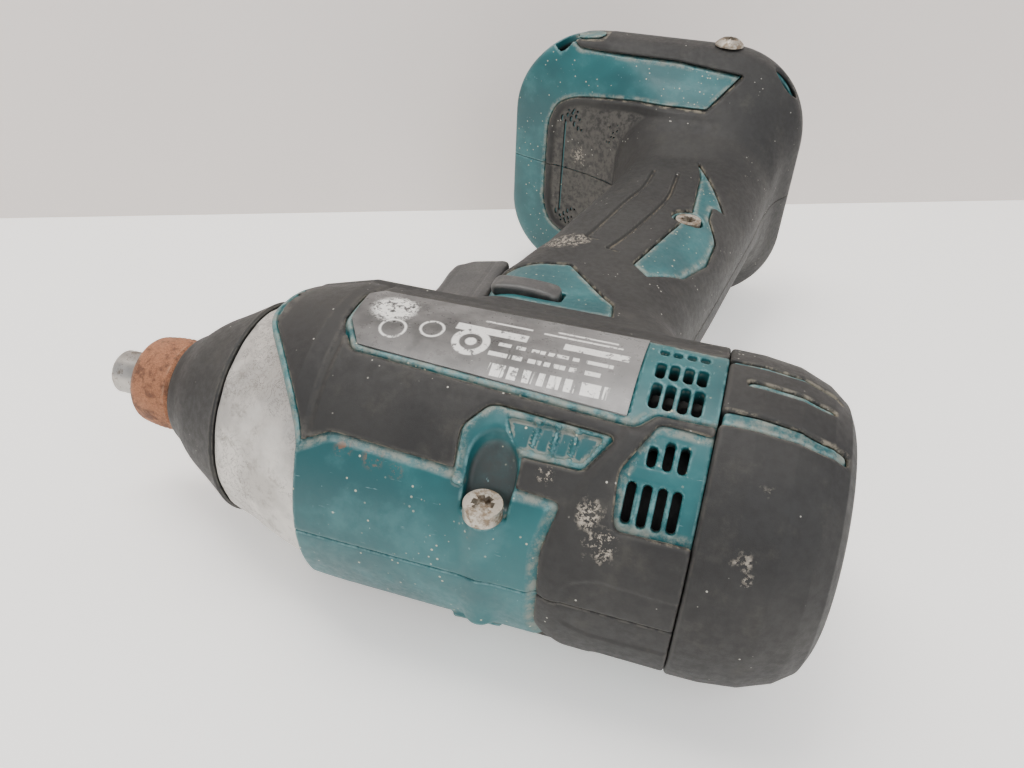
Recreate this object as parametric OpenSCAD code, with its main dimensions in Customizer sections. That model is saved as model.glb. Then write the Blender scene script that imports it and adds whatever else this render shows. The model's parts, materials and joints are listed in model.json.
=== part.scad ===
// Cordless impact driver, bare tool, lying on its left side.
// Each sub-part is drawn in the tool's own axes: +X from the nose to the motor end along the spindle,
// +Y down the handle, +Z to the tool's right side. place() then lays the tool on the floor.

/* [Overall] */
// Length from the anvil tip to the back of the rear cover, mm
tool_len = 137; // [125:0.5:150]
// Radius of the head over the rubber skin, mm
head_r = 27.8; // [26:0.1:30]
// Where the rear cover meets the clamshell, mm from the tip
seam_x = 115.4; // [110:0.1:120]
// Distance from the spindle axis to the bottom of the battery foot, mm
foot_y = 162.4; // [150:0.1:175]

/* [Clamshell] */
// Thickness of the hard shell, mm
wall = 2.2; // [1.8:0.1:3]
// Thickness of the rubber skin, mm
skin = 0.8; // [0.5:0.1:1.5]
// Front edge of the clamshell on the handle side, mm from the tip
shell_front_x = 39; // [36:0.5:44]
// Front edge of the clamshell on top of the head, mm from the tip
panel_front_x = 53.7; // [50:0.1:58]
// Gap between the two halves, mm
parting_gap = 0.1; // [0.05:0.05:0.3]

/* [Handle] */
// Handle depth, front to back over the rubber, mm
grip_d = 41; // [36:0.5:44]
// Handle width over the rubber, mm
grip_w = 34; // [30:0.5:38]
// Backward lean of the handle, degrees
grip_lean = 8.4; // [0:0.1:15]
// Centre of the handle section at mid height, mm from the tip
grip_x = 89.3; // [85:0.1:95]

/* [Battery foot] */
// Foot length, front to back, mm
foot_l = 88.5; // [80:0.5:95]
// Foot width, mm
foot_w = 79; // [70:0.5:85]
// Corner radius of the foot, mm
foot_r = 25; // [10:0.5:30]
// Front end of the foot, mm from the tip
foot_x0 = 36.5; // [30:0.5:45]
// Distance from the spindle axis to the foot's rim, mm
rim_y = 143.5; // [135:0.5:150]
// Width of the battery slide between its rails, mm
bay_w = 48; // [40:1:54]
// Width behind the rail lips, mm
bay_wide = 57; // [50:1:62]

/* [Nose] */
// Radius of the bit sleeve, mm
sleeve_r = 9.2; // [8.5:0.1:11]
// Hex socket across flats with clearance, mm
hex_af = 6.45; // [6.35:0.01:6.6]
// Depth of the hex socket, mm
hex_depth = 18; // [12:0.5:22]
// Travel of the bit sleeve, mm
sleeve_travel = 4; // [3:0.1:5]

/* [Gears] */
// Tooth module, mm
gear_m = 0.8; // [0.6:0.05:1]
// Teeth on the motor pinion
sun_n = 7; // [6:1:9]
// Teeth on each planet
planet_n = 22; // [18:1:26]
// Teeth in the ring gear
ring_n = 51; // [45:2:59]
// Tooth thinning for backlash, mm
thin = 0.14; // [0.05:0.01:0.2]

/* [Travel] */
// Trigger stroke, mm
trigger_travel = 7; // [5:0.5:8]
// Reversing lever stroke each way, mm
lever_travel = 3.5; // [3:0.1:4]
// Hammer stroke, mm
hammer_travel = 6; // [4:0.5:7]

/* [Hidden] */
$fn = 72;

far = 100;
eps = 0.01;
hull_fn = 32;

// Lying attitude: the head's side and the foot's rim both touch the floor.
half_w = foot_w / 2;
tilt = atan(half_w / rim_y) - asin(head_r / sqrt(rim_y * rim_y + half_w * half_w));
row_y_max = foot_y * cos(tilt) + half_w * sin(tilt);
row_shift = [-tool_len / 2, (head_r - row_y_max) / 2, head_r];

// Head and shells
shell_r = head_r - skin;
case_r = 24;
bore_r = case_r + 0.2;
grip_y = 71;
foot_cx = foot_x0 + foot_l / 2;
bay_y = 152;
lip_y = 158;
bay_x1 = 114;
foot_roof_y = 150;

// Colours
teal = [0.13, 0.42, 0.44];
rubber = [0.13, 0.13, 0.13];
alloy = [0.72, 0.70, 0.68];
steel = [0.62, 0.62, 0.62];
brown_steel = [0.45, 0.31, 0.24];
copper = [0.72, 0.43, 0.25];
brass = [0.75, 0.62, 0.32];
plastic = [0.2, 0.2, 0.21];

// Gear train
pitch_sun = gear_m * sun_n / 2;
pitch_planet = gear_m * planet_n / 2;
pitch_ring = gear_m * ring_n / 2;
planet_c = pitch_sun + pitch_planet;
gear_x = 70.3;
gear_w = 6.4;
pin_r = 2;
fit = 0.06;

// Impact mechanism
spindle_r = 8;
hammer_x = 45.3;
hammer_len = 15.2;
cam_x = 52;
cam_ball_r = 2.2;
cam_ball_c = 8.6;
carrier_x = 67.5;
spring_x = 51;

// Chuck
ball_x = 13.2;
ball_r = 1.75;
ball_c = 4.25;
anvil_r = 6;
land_r = 6.1;
pocket_r = 7.6;

// Motor
fan_x = 92;
core_x = 100;
core_len = 14;
comm_x = 117;
comm_r = 8.5;
rear_bearing_x = 126;

// Trigger and lever
trigger_x = 50;
trigger_y0 = 31;
trigger_y1 = 57;
trigger_w = 19;
stem_y = 44;
lever_y0 = 27.4;
lever_y1 = 32.4;
paddle_z = 16.5;
paddle_t = 3.7;

// Screws through the clamshell, by the side their heads are on: distance from the tip, distance from
// the spindle axis, height of the head's seat
scoop_screw = [85, -24.7, 11.5];
right_screws = [scoop_screw, [100.5, 79.5, 13.5], [52, 146.5, 13.5], [116.5, 146.5, 13.5]];
left_screws = [[80, 68.6, 13.5], [85, 104, 13.5], [106, 119, 13.5]];
boss_l = 27;
boss_r = 3.8;
shank_l = 22.5;
// The scoop's screw is shorter than the others
scoop_shank = 16.5;
seat_r = 3.5;
scoop_y = -20.6;
cover_screw_a = 30;
cover_screw_c = 25.2;

// The vents beside the motor: rows as [turn about the spindle, tangential length]
vent_rows = [[-7, 2.4], [4, 4.4], [16.6, 4.6], [36, 4.2], [51.8, 7.2]];
vent_xs = [105.4, 107.5, 109.6, 111.7];
grille_xs = [88.6, 92.1, 95.6, 99.1];
grille_turn = 37;

// Side outlines, as distance from the tip and distance down from the spindle axis
front_cut = [[shell_front_x, 60], [shell_front_x, -4], [panel_front_x, -22.6],
  [panel_front_x, -40], [far * 2, -40], [far * 2, far * 2], [0, far * 2], [0, 60]];
skin_head = [[shell_front_x + 0.8, 30], [shell_front_x + 0.8, -3.6], [53.6, -21.3],
  [58.6, -20.4], [79.6, -21.6], [79.6, -17.7], [82.4, -13.4], [102, -14.6], [98.4, -19.6],
  [89.5, -22.2], [96.4, -22.4], [95.4, -26], [95.4, -40], [seam_x, -40], [seam_x, 60],
  [shell_front_x, 60]];
vent_upper = [[103.6, -9.4], [seam_x + 1, -9.4], [seam_x + 1, 5], [104.4, 5]];
vent_lower = [[107.3, -12.8], [seam_x + 1, -12.4], [seam_x + 1, -24], [104.2, -24],
  [103.6, -19.5]];
label_outline = [[54.2, 4], [54.8, -4], [58.1, -9], [102.4, -11.2], [102.4, 7.8], [56, 6.6]];
crescent = [[96, 112], [101, 111], [107.5, 94], [104.6, 93], [104, 88], [107.5, 80], [105, 66],
  [96, 53], [91.5, 57], [100, 78], [101, 93]];

module place() {
  translate(row_shift)
    rotate([tilt, 0, 0])
      children();
}

// A disc or any outline pushed along the spindle from x0.
module along(x0, length) {
  translate([x0, 0, 0])
    rotate([0, 90, 0])
      linear_extrude(length)
        children();
}

module rod(x0, length, r) {
  translate([x0, 0, 0])
    rotate([0, 90, 0])
      cylinder(h = length, r = r);
}

module tube(x0, length, r_out, r_in) {
  difference() {
    rod(x0, length, r_out);
    rod(x0 - 1, length + 2, r_in);
  }
}

// A profile of [radius, distance along the spindle] turned about the spindle.
module turned(profile) {
  rotate([0, 90, 0])
    rotate_extrude()
      polygon(profile);
}

module rounded_bar(w, d, r) {
  for (sx = [-1, 1], sy = [-1, 1])
    translate([sx * (w / 2 - r), sy * (d / 2 - r)])
      circle(r);
  square([w - 2 * r, d], center = true);
  square([w, d - 2 * r], center = true);
}

// A rounded slab square to the handle, centred at x, starting at y.
module slab(x, y, h, w, d, r) {
  translate([x, y, 0])
    rotate([-90, 0, 0])
      linear_extrude(h)
        rounded_bar(w, d, r);
}

module side_prism(outline) {
  translate([0, 0, -far])
    linear_extrude(far * 2)
      polygon(outline);
}

module helix(turns, r, wire, length, sides = 8, steps = 18) {
  n = floor(turns * steps);
  pts = [for (i = [0 : n], j = [0 : sides - 1])
    let (a = 360 * i / steps, b = 360 * j / sides, rr = r + wire * cos(b))
      [wire + (length - 2 * wire) * i / n + wire * sin(b), rr * cos(a), rr * sin(a)]];
  skins = [for (i = [0 : n - 1], j = [0 : sides - 1])
    let (k = (j + 1) % sides)
      [i * sides + j, i * sides + k, (i + 1) * sides + k, (i + 1) * sides + j]];
  start_cap = [for (j = [sides - 1 : -1 : 0]) j];
  end_cap = [for (j = [0 : sides - 1]) n * sides + j];
  polyhedron(points = pts, faces = concat([start_cap], skins, [end_cap]));
}

function involute(a) = tan(a) * 180 / PI - a;
function flank(n, r, shift) =
  let (rp = gear_m * n / 2, rb = rp * cos(20), half = (PI * gear_m / 4 + shift) / rp * 180 / PI)
    half + involute(20) - (r > rb ? involute(acos(rb / r)) : 0);

// Spur gear outline: teeth n, root and tip radii, shift thins (-) or fattens (+) each flank.
module spur(n, root, tip, shift, phase = 0) {
  rp = gear_m * n / 2;
  radii = [root, (root + rp) / 2, rp, (rp + tip) / 2, tip];
  polygon([for (i = [0 : n - 1], s = [-1, 1], k = [0 : 4])
    let (r = radii[s < 0 ? k : 4 - k], a = 360 * i / n + phase + s * flank(n, r, shift))
      [r * cos(a), r * sin(a)]]);
}

// The clamshell's outside, grown by g: head, neck, handle, flare and foot in one.
module head_form(g) {
  turned([[0, shell_front_x], [shell_r - 3 + g, shell_front_x], [shell_r + g, shell_front_x + 12],
    [shell_r + g, seam_x], [0, seam_x]]);
}

module grip_slab(y, h, g) {
  translate([grip_x, grip_y, 0])
    rotate([0, 0, -grip_lean])
      slab(0, y - grip_y, h, grip_d - 2 * skin + 2 * g, grip_w - 2 * skin + 2 * g, 14.2 + g);
}

module body_form(g, foot_end) {
  grip_slab(24, 107, g);
  // Neck: its lower end is sunk inside the handle
  hull() {
    slab(83.2, 12, 6, 56 + 2 * g, 42 + 2 * g, 14 + g, $fn = hull_fn);
    slab(86.8, 51, 1, 36.4 + 2 * g, 29.4 + 2 * g, 12.7 + g, $fn = hull_fn);
  }
  // Flare: two steps, each starting inside the one above
  hull() {
    slab(96, 113, 1, 36.4 + 2 * g, 29.4 + 2 * g, 12.7 + g, $fn = hull_fn);
    slab(91, 131, 1, 58 + 2 * g, 50 + 2 * g, 18 + g, $fn = hull_fn);
  }
  hull() {
    slab(91, 130, 1, 56.4 + 2 * g, 48.4 + 2 * g, 17.2 + g, $fn = hull_fn);
    slab(foot_cx, rim_y, 1, foot_l - 2 * skin - 0.6 + 2 * g, foot_w - 2 * skin - 0.6 + 2 * g,
      foot_r - skin - 0.3 + g, $fn = hull_fn);
  }
  slab(foot_cx, rim_y, foot_end - rim_y, foot_l - 2 * skin + 2 * g, foot_w - 2 * skin + 2 * g,
    foot_r - skin + g);
}

// The clear space for the hammer case, gears and motor.
module head_bore() {
  turned([[0, shell_front_x - 1], [21.4, shell_front_x - 1], [25.2, 50], [25.7, 54.9],
    [bore_r, 55], [bore_r, seam_x + 1], [0, seam_x + 1]]);
}

module half_space(side) {
  translate([-far, -far, side > 0 ? -parting_gap / 2 : -far + parting_gap / 2])
    cube([far * 4, far * 4, far]);
}

module vents() {
  for (row = vent_rows, x = vent_xs)
    rotate([row[0], 0, 0])
      translate([x - 0.65, -row[1] / 2, 20])
        cube([1.3, row[1], 12]);
  for (x = grille_xs)
    rotate([grille_turn, 0, 0])
      translate([x - 1.3, -2.1, 20])
        cube([2.6, 4.2, 12]);
}

// Puts its children on the seat of every clamshell screw, with the head upward.
module at_screws() {
  for (p = right_screws)
    translate(p)
      let($shank = p == scoop_screw ? scoop_shank : shank_l)
        children();
  mirror([0, 0, 1])
    for (p = left_screws)
      translate(p)
        let($shank = shank_l)
          children();
}

module screw_holes(r) {
  at_screws()
    translate([0, 0, -$shank - 0.6])
      cylinder(h = far, r = r);
}

module openings() {
  // Trigger window
  translate([40, trigger_y0 - 0.4, -trigger_w / 2 - 0.4])
    cube([32, trigger_y1 - trigger_y0 + 0.8, trigger_w + 0.8]);
  // Reversing lever slot
  translate([71.7, lever_y0 - 0.3, -30])
    cube([10.6, lever_y1 - lever_y0 + 0.6, 60]);
  // Clear space for the lever's paddles
  for (s = [-1, 1])
    translate([67.4, lever_y0 - 0.4, s > 0 ? paddle_z - lever_travel - 0.3 : -30])
      cube([15.2, lever_y1 - lever_y0 + 0.8, 30.3 - paddle_z + lever_travel]);
  // Battery slide: wide behind the rail lips, narrow between them
  translate([foot_x0 - 5, bay_y, -bay_wide / 2])
    cube([bay_x1 - foot_x0 + 5, lip_y - bay_y, bay_wide]);
  translate([foot_x0 - 5, bay_y, -bay_w / 2])
    cube([bay_x1 - foot_x0 + 5, 20, bay_w]);
  // Slot in the foot's roof for the terminal block
  translate([83.5, 140, -18.4])
    cube([29, 14, 36.8]);
  // Job light
  translate([0, 27.6, 0])
    rod(50, 11.4, 2.3);
  translate([61.1, 25.1, -4.2])
    cube([1.6, 5.2, 8.4]);
}

module shell_half(side) {
  color(teal)
    place()
      difference() {
        union() {
          difference() {
            intersection() {
              union() {
                head_form(0);
                body_form(0, foot_y);
              }
              side_prism(front_cut);
            }
            body_form(-wall, foot_roof_y);
          }
          screw_bosses();
        }
        head_bore();
        half_space(-side);
        shell_cuts();
      }
}

module screw_bosses() {
  intersection() {
    union() {
      at_screws()
        translate([0, 0, -boss_l])
          cylinder(h = boss_l, r = boss_r);
      cover_screw_rods(104, seam_x - 104, 3.2);
    }
    union() {
      head_form(-0.3);
      translate([0, head_r, -far])
        cube([far * 2, far * 2, far * 2]);
    }
  }
}

module shell_cuts() {
  openings_all();
  screw_holes(1.55);
  at_screws()
    cylinder(h = 40, r = seat_r);
  // Scoop above the front screw
  translate(scoop_screw - [seat_r, 0, 0])
    cube([2 * seat_r, scoop_y - scoop_screw[1], 20]);
  translate([scoop_screw[0], scoop_y, scoop_screw[2]])
    cylinder(h = 20, r = seat_r);
}

module openings_all() {
  openings();
  vents();
  mirror([0, 0, 1])
    vents();
  cover_screw_rods(105, 20, 1.45);
  // Seats of the hook inserts
  for (s = [-1, 1])
    translate([99, 147.6, s * 36.5])
      cylinder(h = 12, r = 3.05, center = true);
}

module housing_right() {
  shell_half(1);
}

module housing_left() {
  shell_half(-1);
}

// Rubber skin of one side: all of the handle and flare, and the head outside its teal panels.
module skin_half(side) {
  color(rubber)
    place()
      difference() {
        intersection() {
          union() {
            head_form(skin);
            body_form(skin, 158);
          }
          skin_region();
        }
        head_form(0.02);
        body_form(0.02, 159);
        half_space(-side);
        skin_cuts();
      }
}

module skin_region() {
  difference() {
    side_prism(skin_head);
    side_prism(vent_upper);
    side_prism(vent_lower);
    // Teal collar beside the trigger
    side_prism([[40, 27], [97, 27], [92, 31], [80, 44], [66.5, 44.5], [64, 58.5], [40, 58.5]]);
  }
  // Handle, flare and the rear part of the foot
  difference() {
    side_prism([[60, 58], [58, 128], [50, 140], [50, far * 2], [far * 2, far * 2], [far * 2, 40],
      [92, 31], [80, 44.5], [66.5, 45], [64, 58]]);
    side_prism(crescent);
  }
}

module skin_cuts() {
  openings_all();
  screw_holes(3.6);
  side_prism(label_cut());
}

function label_cut() = [for (p = label_outline)
  [p[0] + (p[0] > 80 ? 0.3 : -0.3), p[1] + (p[1] > 0 ? 0.3 : -0.3)]];

module overmold_right() {
  skin_half(1);
}

module overmold_left() {
  skin_half(-1);
}

module rear_cover() {
  color(rubber)
    place()
      difference() {
        union() {
          difference() {
            turned([[0, seam_x + 0.1], [head_r, seam_x + 0.1], [27.7, 121], [26.9, 127],
              [24.9, 132], [22.6, 135], [19.5, 136.6], [16, tool_len], [0, tool_len]]);
            turned([[0, seam_x - 1], [25.2, seam_x - 1], [25, 121], [24.3, 126], [22.4, 130.5],
              [19.8, 133], [15, 134.2], [0, 134.2]]);
          }
          tube(125.6, 9, 9, 5);
          // Bosses of the two cover screws
          intersection() {
            turned([[0, seam_x + 0.1], [head_r - 0.2, seam_x + 0.1], [27.4, 121], [0, 124]]);
            cover_screw_rods(seam_x + 0.1, 7, 3.4);
          }
        }
        rod(120, rear_bearing_x + 4.5 - 120, 6.55);
        cover_screw_rods(100, 50, 1.5);
        cover_screw_rods(121.5, 20, 3.1);
      }
}

module cover_screw_rods(x0, length, r) {
  for (s = [-1, 1])
    rotate([s * cover_screw_a, 0, 0])
      translate([x0, cover_screw_c, 0])
        rotate([0, 90, 0])
          cylinder(h = length, r = r);
}

module torx(size, depth) {
  for (i = [0 : 2])
    rotate([0, 0, 60 * i])
      cube([size, size * 0.34, depth * 2], center = true);
}

module rear_cover_screws() {
  color(steel)
    place()
      for (s = [-1, 1])
        rotate([s * cover_screw_a, 0, 0])
          translate([0, cover_screw_c, 0])
            difference() {
              union() {
                rod(107, 14.6, 1.4);
                rod(121.55, 2.2, 2.7);
              }
              translate([123.75, 0, 0])
                rotate([0, 90, 0])
                  torx(3, 1.2);
            }
}

module housing_screws() {
  color(steel)
    place()
      at_screws()
        difference() {
          union() {
            translate([0, 0, -$shank])
              cylinder(h = $shank + 0.1, r = 1.5);
            translate([0, 0, 0.05])
              cylinder(h = 2.4, r = 3);
          }
          translate([0, 0, 2.45])
            torx(3.4, 1.3);
        }
}

module hook_screw() {
  color(steel)
    place()
      translate([99, 147.6, 0]) {
        translate([0, 0, 33.6])
          cylinder(h = 6, r = 1.97);
        difference() {
          translate([0, 0, half_w + 0.02])
            intersection() {
              cylinder(h = 2.4, r = 4);
              translate([0, 0, -2.7])
                sphere(5.1);
            }
          translate([0, 0, half_w + 2.4])
            torx(4.2, 1.2);
        }
      }
}

module hook_inserts() {
  color(brass)
    place()
      for (s = [-1, 1])
        translate([99, 147.6, s * 36.2])
          difference() {
            cylinder(h = 5.4, r = 3, center = true);
            cylinder(h = 8, r = 2, center = true);
          }
}

module hammer_case() {
  color(alloy)
    place()
      difference() {
        turned([[0, 18], [9.9, 18], [10.2, 18.4], [10.8, 20], [13.9, 24], [16.5, 29], [18.9, 34.3],
          [20, 34.6], [21.5, 39.5],
          [23.6, 45.5], [24.9, 50], [25.4, 54.5], [25.3, 54.8], [case_r, 54.8], [case_r, 79.2],
          [0, 79.2]]);
        rod(10, 60, 8);
        rod(18.5, 30, 9.5);
        turned([[0, 36.4], [12.4, 36.4], [17, 38.2], [19.7, 44], [20.7, 47], [20.7, 69],
          [23.05, 69.6], [23.05, 90], [0, 90]]);
      }
}

module bumper() {
  color(rubber)
    place()
      difference() {
        turned([[9.2, 17.4], [9.9, 17.4], [10.7, 18.2], [11.6, 20], [14.8, 24], [17.5, 29],
          [20.4, 33.6], [20.2, 34.2], [19, 34.2], [16.6, 29], [14, 24], [10.9, 20], [10.3, 18.3],
          [10, 17.9], [9.2, 17.9]]);
        rod(10, 10, 9.3);
      }
}

module anvil() {
  color(steel)
    place()
      difference() {
        union() {
          turned([[0, 0], [3.8, 0], [4.3, 0.6], [4.4, 7.6], [5.6, 7.8], [anvil_r, 8.1], [anvil_r, 20],
            [7, 20], [7, 36.6], [9.5, 37.5], [9.5, 45], [0, 45]]);
          intersection() {
            rod(38.6, 6.4, 15.8);
            translate([38, -20, -5])
              cube([10, 40, 10]);
          }
        }
        rod(38, 10, 4 + fit);
        rod(-1, hex_depth + 1, hex_af / 2 / cos(30), $fn = 6);
        // Groove of the retaining ring and holes of the two balls
        tube(8.4, 0.7, 8, 5.5);
        translate([ball_x, 0, 0])
          rotate([90, 0, 0])
            cylinder(h = 20, r = ball_r + 0.05, center = true);
      }
}

module anvil_bush() {
  color(brass)
    place()
      tube(18.7, 17.4, 9.48, 7 + fit);
}

module anvil_washer() {
  color(plastic)
    place()
      tube(36.7, 0.7, 12, 9.7);
}

module bit_sleeve() {
  color(brown_steel)
    place()
      difference() {
        turned([[land_r, 7.8], [sleeve_r - 1.2, 7.8], [sleeve_r - 0.6, 8.6], [sleeve_r - 0.2, 11],
          [sleeve_r, 13], [sleeve_r, 15.8], [sleeve_r - 0.6, 16.6], [land_r, 16.6]]);
        rod(0, 12.3, pocket_r);
        rod(14.4, 5, pocket_r);
      }
}

module sleeve_spring() {
  color(steel)
    place()
      translate([9.55, 0, 0])
        helix(1.7, 7, 0.3, 2.7);
}

module sleeve_washer() {
  color(steel)
    place()
      tube(9.1, 0.4, 7.4, anvil_r + 0.08);
}

module sleeve_ring() {
  color(steel)
    place()
      tube(8.45, 0.6, 6.8, 5.52);
}

module bit_balls() {
  color(steel)
    place()
      for (s = [-1, 1])
        translate([ball_x, s * ball_c, 0])
          sphere(ball_r);
}

module hammer() {
  color(steel)
    place()
      difference() {
        union() {
          turned([[0, hammer_x], [18.6, hammer_x], [19.8, hammer_x + 2.7],
            [19.8, hammer_x + hammer_len], [0, hammer_x + hammer_len]]);
          intersection() {
            tube(39.6, 6, 15.8, 10.2);
            translate([39, -5, -20])
              cube([8, 10, 40]);
          }
        }
        rod(30, 50, spindle_r + fit);
        tube(50, 20, 18.2, 12);
        for (s = [-1, 1])
          translate([44, s * 9.2 - 2.35, -2.35])
            cube([cam_x + cam_ball_r + 0.4 - 44, 4.7, 4.7]);
      }
}

module cam_balls() {
  color(steel)
    place()
      for (s = [-1, 1])
        translate([cam_x, s * cam_ball_c, 0])
          sphere(cam_ball_r);
}

module hammer_spring() {
  color(steel)
    place()
      translate([spring_x, 0, 0])
        helix(4, 15.1, 1.2, carrier_x - spring_x - 0.05);
}

module spring_washer() {
  color(steel)
    place()
      tube(50.05, 0.85, 18, 12.2);
}

module spindle() {
  color(steel)
    place()
      difference() {
        union() {
          rod(38.4, 8, 4);
          rod(45.6, 24, spindle_r);
          rod(carrier_x, 2.5, 16);
          rod(77, 2, 15.5);
          rod(78.9, 6.1, 7.5);
          // Webs that tie the carrier plates together between the planets
          intersection() {
            rod(carrier_x + 1, 9, 15.5);
            for (s = [-1, 1])
              translate([carrier_x, s * 12.2 - 3, -5])
                cube([11, 6, 10]);
          }
        }
        rod(70, 30, 4.3);
        for (s = [-1, 1]) {
          translate([0, 0, s * planet_c])
            rod(60, 30, pin_r);
          translate([cam_x, s * cam_ball_c, 0])
            sphere(cam_ball_r + 0.05);
        }
      }
}

module planet_pins() {
  color(steel)
    place()
      for (s = [-1, 1])
        translate([0, 0, s * planet_c])
          rod(carrier_x + 0.2, 11.2, pin_r - 0.01);
}

module planet(phase) {
  difference() {
    along(gear_x, gear_w)
      spur(planet_n, pitch_planet - gear_m * 1.2, pitch_planet + gear_m * 0.72, -thin / 2, phase);
    rod(60, 30, pin_r + 0.05);
  }
}

module planet_gear_1() {
  color(steel)
    place()
      translate([0, 0, -planet_c])
        planet(0);
}

module planet_gear_2() {
  color(steel)
    place()
      translate([0, 0, planet_c])
        planet(180 / planet_n);
}

module ring_gear() {
  color(steel)
    place()
      difference() {
        rod(gear_x - 0.3, gear_w + 0.6, 23);
        along(gear_x - 2, gear_w + 4)
          spur(ring_n, pitch_ring - gear_m * 0.7, pitch_ring + gear_m * 1.2, thin / 2);
      }
}

module bearing_box() {
  color(plastic)
    place()
      difference() {
        union() {
          rod(79.4, 7.6, 23.1);
          rod(86, 5, 11);
        }
        rod(70, 15.05, 12.02);
        rod(70, 20, 5);
        rod(85.9, 20, 8.02);
      }
}

module bearing(x0, length, r_out, r_in) {
  span = r_out - r_in;
  tube(x0, length, r_out, r_out - span * 0.25);
  tube(x0, length, r_in + span * 0.25, r_in);
  tube(x0 + 0.4, length - 0.8, r_out - span * 0.2, r_in + span * 0.2);
}

module spindle_bearing() {
  color(steel)
    place()
      bearing(80, 5, 12, 7.5 + 0.02);
}

module rotor() {
  color(steel)
    place()
      union() {
        along(69.7 + 0.6, 7.4)
          spur(sun_n, pitch_sun - gear_m * 1.15, pitch_sun + gear_m * 0.75, -thin / 2,
            180 / sun_n);
        rod(77.6, 48, 3);
        rod(125, 6, 2.5);
      }
}

module rotor_bearing_front() {
  color(steel)
    place()
      bearing(86, 5, 8, 3.02);
}

module rotor_bearing_rear() {
  color(steel)
    place()
      bearing(rear_bearing_x, 4.4, 6.5, 2.52);
}

module armature_core() {
  color(steel)
    place()
      difference() {
        rod(core_x, core_len, 17.1);
        rod(90, 40, 3.02);
        // Winding slots
        for (i = [0 : 9])
          rotate([36 * i, 0, 0])
            translate([core_x - 1, -1.1, 11])
              cube([core_len + 2, 2.2, 8]);
      }
}

module windings() {
  color(copper)
    place()
      difference() {
        union() {
          turned([[3.1, 98.3], [12.5, 98.3], [14.5, 99], [14.5, core_x - 0.02],
            [3.1, core_x - 0.02]]);
          turned([[3.1, core_x + core_len + 0.02], [14.5, core_x + core_len + 0.02], [14, 115.6],
            [11, 116.7], [3.1, 116.7]]);
        }
        rod(90, 40, 3.02);
      }
}

module commutator() {
  color(copper)
    place()
      difference() {
        rod(comm_x, 7.5, comm_r);
        rod(90, 50, 3.02);
        for (i = [0 : 9])
          rotate([36 * i, 0, 0])
            translate([comm_x - 1, -0.25, comm_r - 1])
              cube([10, 0.5, 3]);
      }
}

module fan() {
  color(plastic)
    place()
      difference() {
        union() {
          rod(fan_x + 4, 1.2, 20.5);
          rod(fan_x, 5.2, 6);
          for (i = [0 : 13])
            rotate([360 * i / 14, 0, 0])
              translate([fan_x, -0.5, 9])
                cube([4.2, 1, 11.2]);
        }
        rod(80, 40, 3.02);
      }
}

module motor_yoke() {
  color(steel)
    place()
      tube(98.2, 17.2, 22.8, 21.6);
}

module magnets() {
  color([0.25, 0.25, 0.26])
    place()
      for (i = [0 : 3])
        rotate([45 + 90 * i, 0, 0])
          intersection() {
            tube(99, 16, 21.5, 17.6);
            translate([90, -10, 8])
              cube([40, 20, 20]);
          }
}

module brush_holder() {
  color(plastic)
    place()
      difference() {
        union() {
          tube(118, 1.4, 22, 10);
          for (s = [-1, 1])
            translate([119, s * 15.6 - 5.4, -3.6])
              cube([6.4, 10.8, 7.2]);
        }
        for (s = [-1, 1])
          translate([119.9, s * 15.6 - 6, -2.6])
            cube([4.8, 12, 5.2]);
      }
}

module carbon_brushes() {
  color([0.15, 0.15, 0.16])
    place()
      for (s = [-1, 1])
        translate([120, s * 11.75 - 3.1, -2.5])
          cube([4.6, 6.2, 5]);
}

module brush_springs() {
  color(steel)
    place()
      for (s = [-1, 1])
        rotate([s > 0 ? 0 : 180, 0, 0])
          translate([122.3, 14.95, 0])
            rotate([0, 0, 90])
              helix(4, 1.5, 0.25, 5.8, 6, 12);
}

module switch_body() {
  color(plastic)
    place()
      difference() {
        union() {
          translate([74.6, 36, -11])
            cube([24.6, 27, 22]);
          translate([0, stem_y, 0])
            rod(72.2, 3, 6);
          translate([78, lever_y1 + 0.3, -6])
            cube([12, 3.9, 12]);
        }
        translate([0, stem_y, 0])
          rod(60, 28, 3.3);
      }
}

module trigger() {
  color(plastic)
    place()
      difference() {
        union() {
          intersection() {
            translate([trigger_x, trigger_y0, -trigger_w / 2])
              cube([14, trigger_y1 - trigger_y0, trigger_w]);
            translate([trigger_x + 9.5, 0, 0])
              rotate([-90, 0, 0])
                cylinder(h = 80, r = 11);
          }
          translate([0, stem_y, 0])
            rod(62, 14, 3);
        }
        // Finger hollow on the front face
        translate([trigger_x - 22.4, stem_y, -20])
          cylinder(h = 40, r = 24);
        // Seat of the return spring round the stem
        translate([0, stem_y, 0])
          tube(58, 8, 5.4, 3.01);
      }
}

module trigger_spring() {
  color(steel)
    place()
      translate([58.1, stem_y, 0])
        helix(5.5, 4.3, 0.45, 14, 8, 16);
}

module reversing_lever() {
  color(plastic)
    place() {
      translate([72, lever_y0, -paddle_z - 0.1])
        cube([10, lever_y1 - lever_y0, 2 * paddle_z + 0.2]);
      for (s = [-1, 1])
        translate([75, (lever_y0 + lever_y1) / 2, s * (paddle_z + paddle_t / 2)])
          intersection() {
            cube([14, lever_y1 - lever_y0, paddle_t], center = true);
            translate([0, 0, s * (paddle_t / 2 - 10)])
              rotate([90, 0, 0])
                cylinder(h = 10, r = 10, center = true);
          }
    }
}

module led_lens() {
  color([0.85, 0.87, 0.88])
    place()
      translate([0, 27.6, 0]) {
        rod(57.5, 3.6, 2.2);
        translate([57.5, 0, 0])
          intersection() {
            sphere(2.2);
            translate([-5, -5, -5])
              cube([5, 10, 10]);
          }
      }
}

module led_board() {
  color([0.2, 0.4, 0.25])
    place()
      translate([61.3, 25.3, -4])
        cube([1.2, 4.8, 8]);
}

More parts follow.
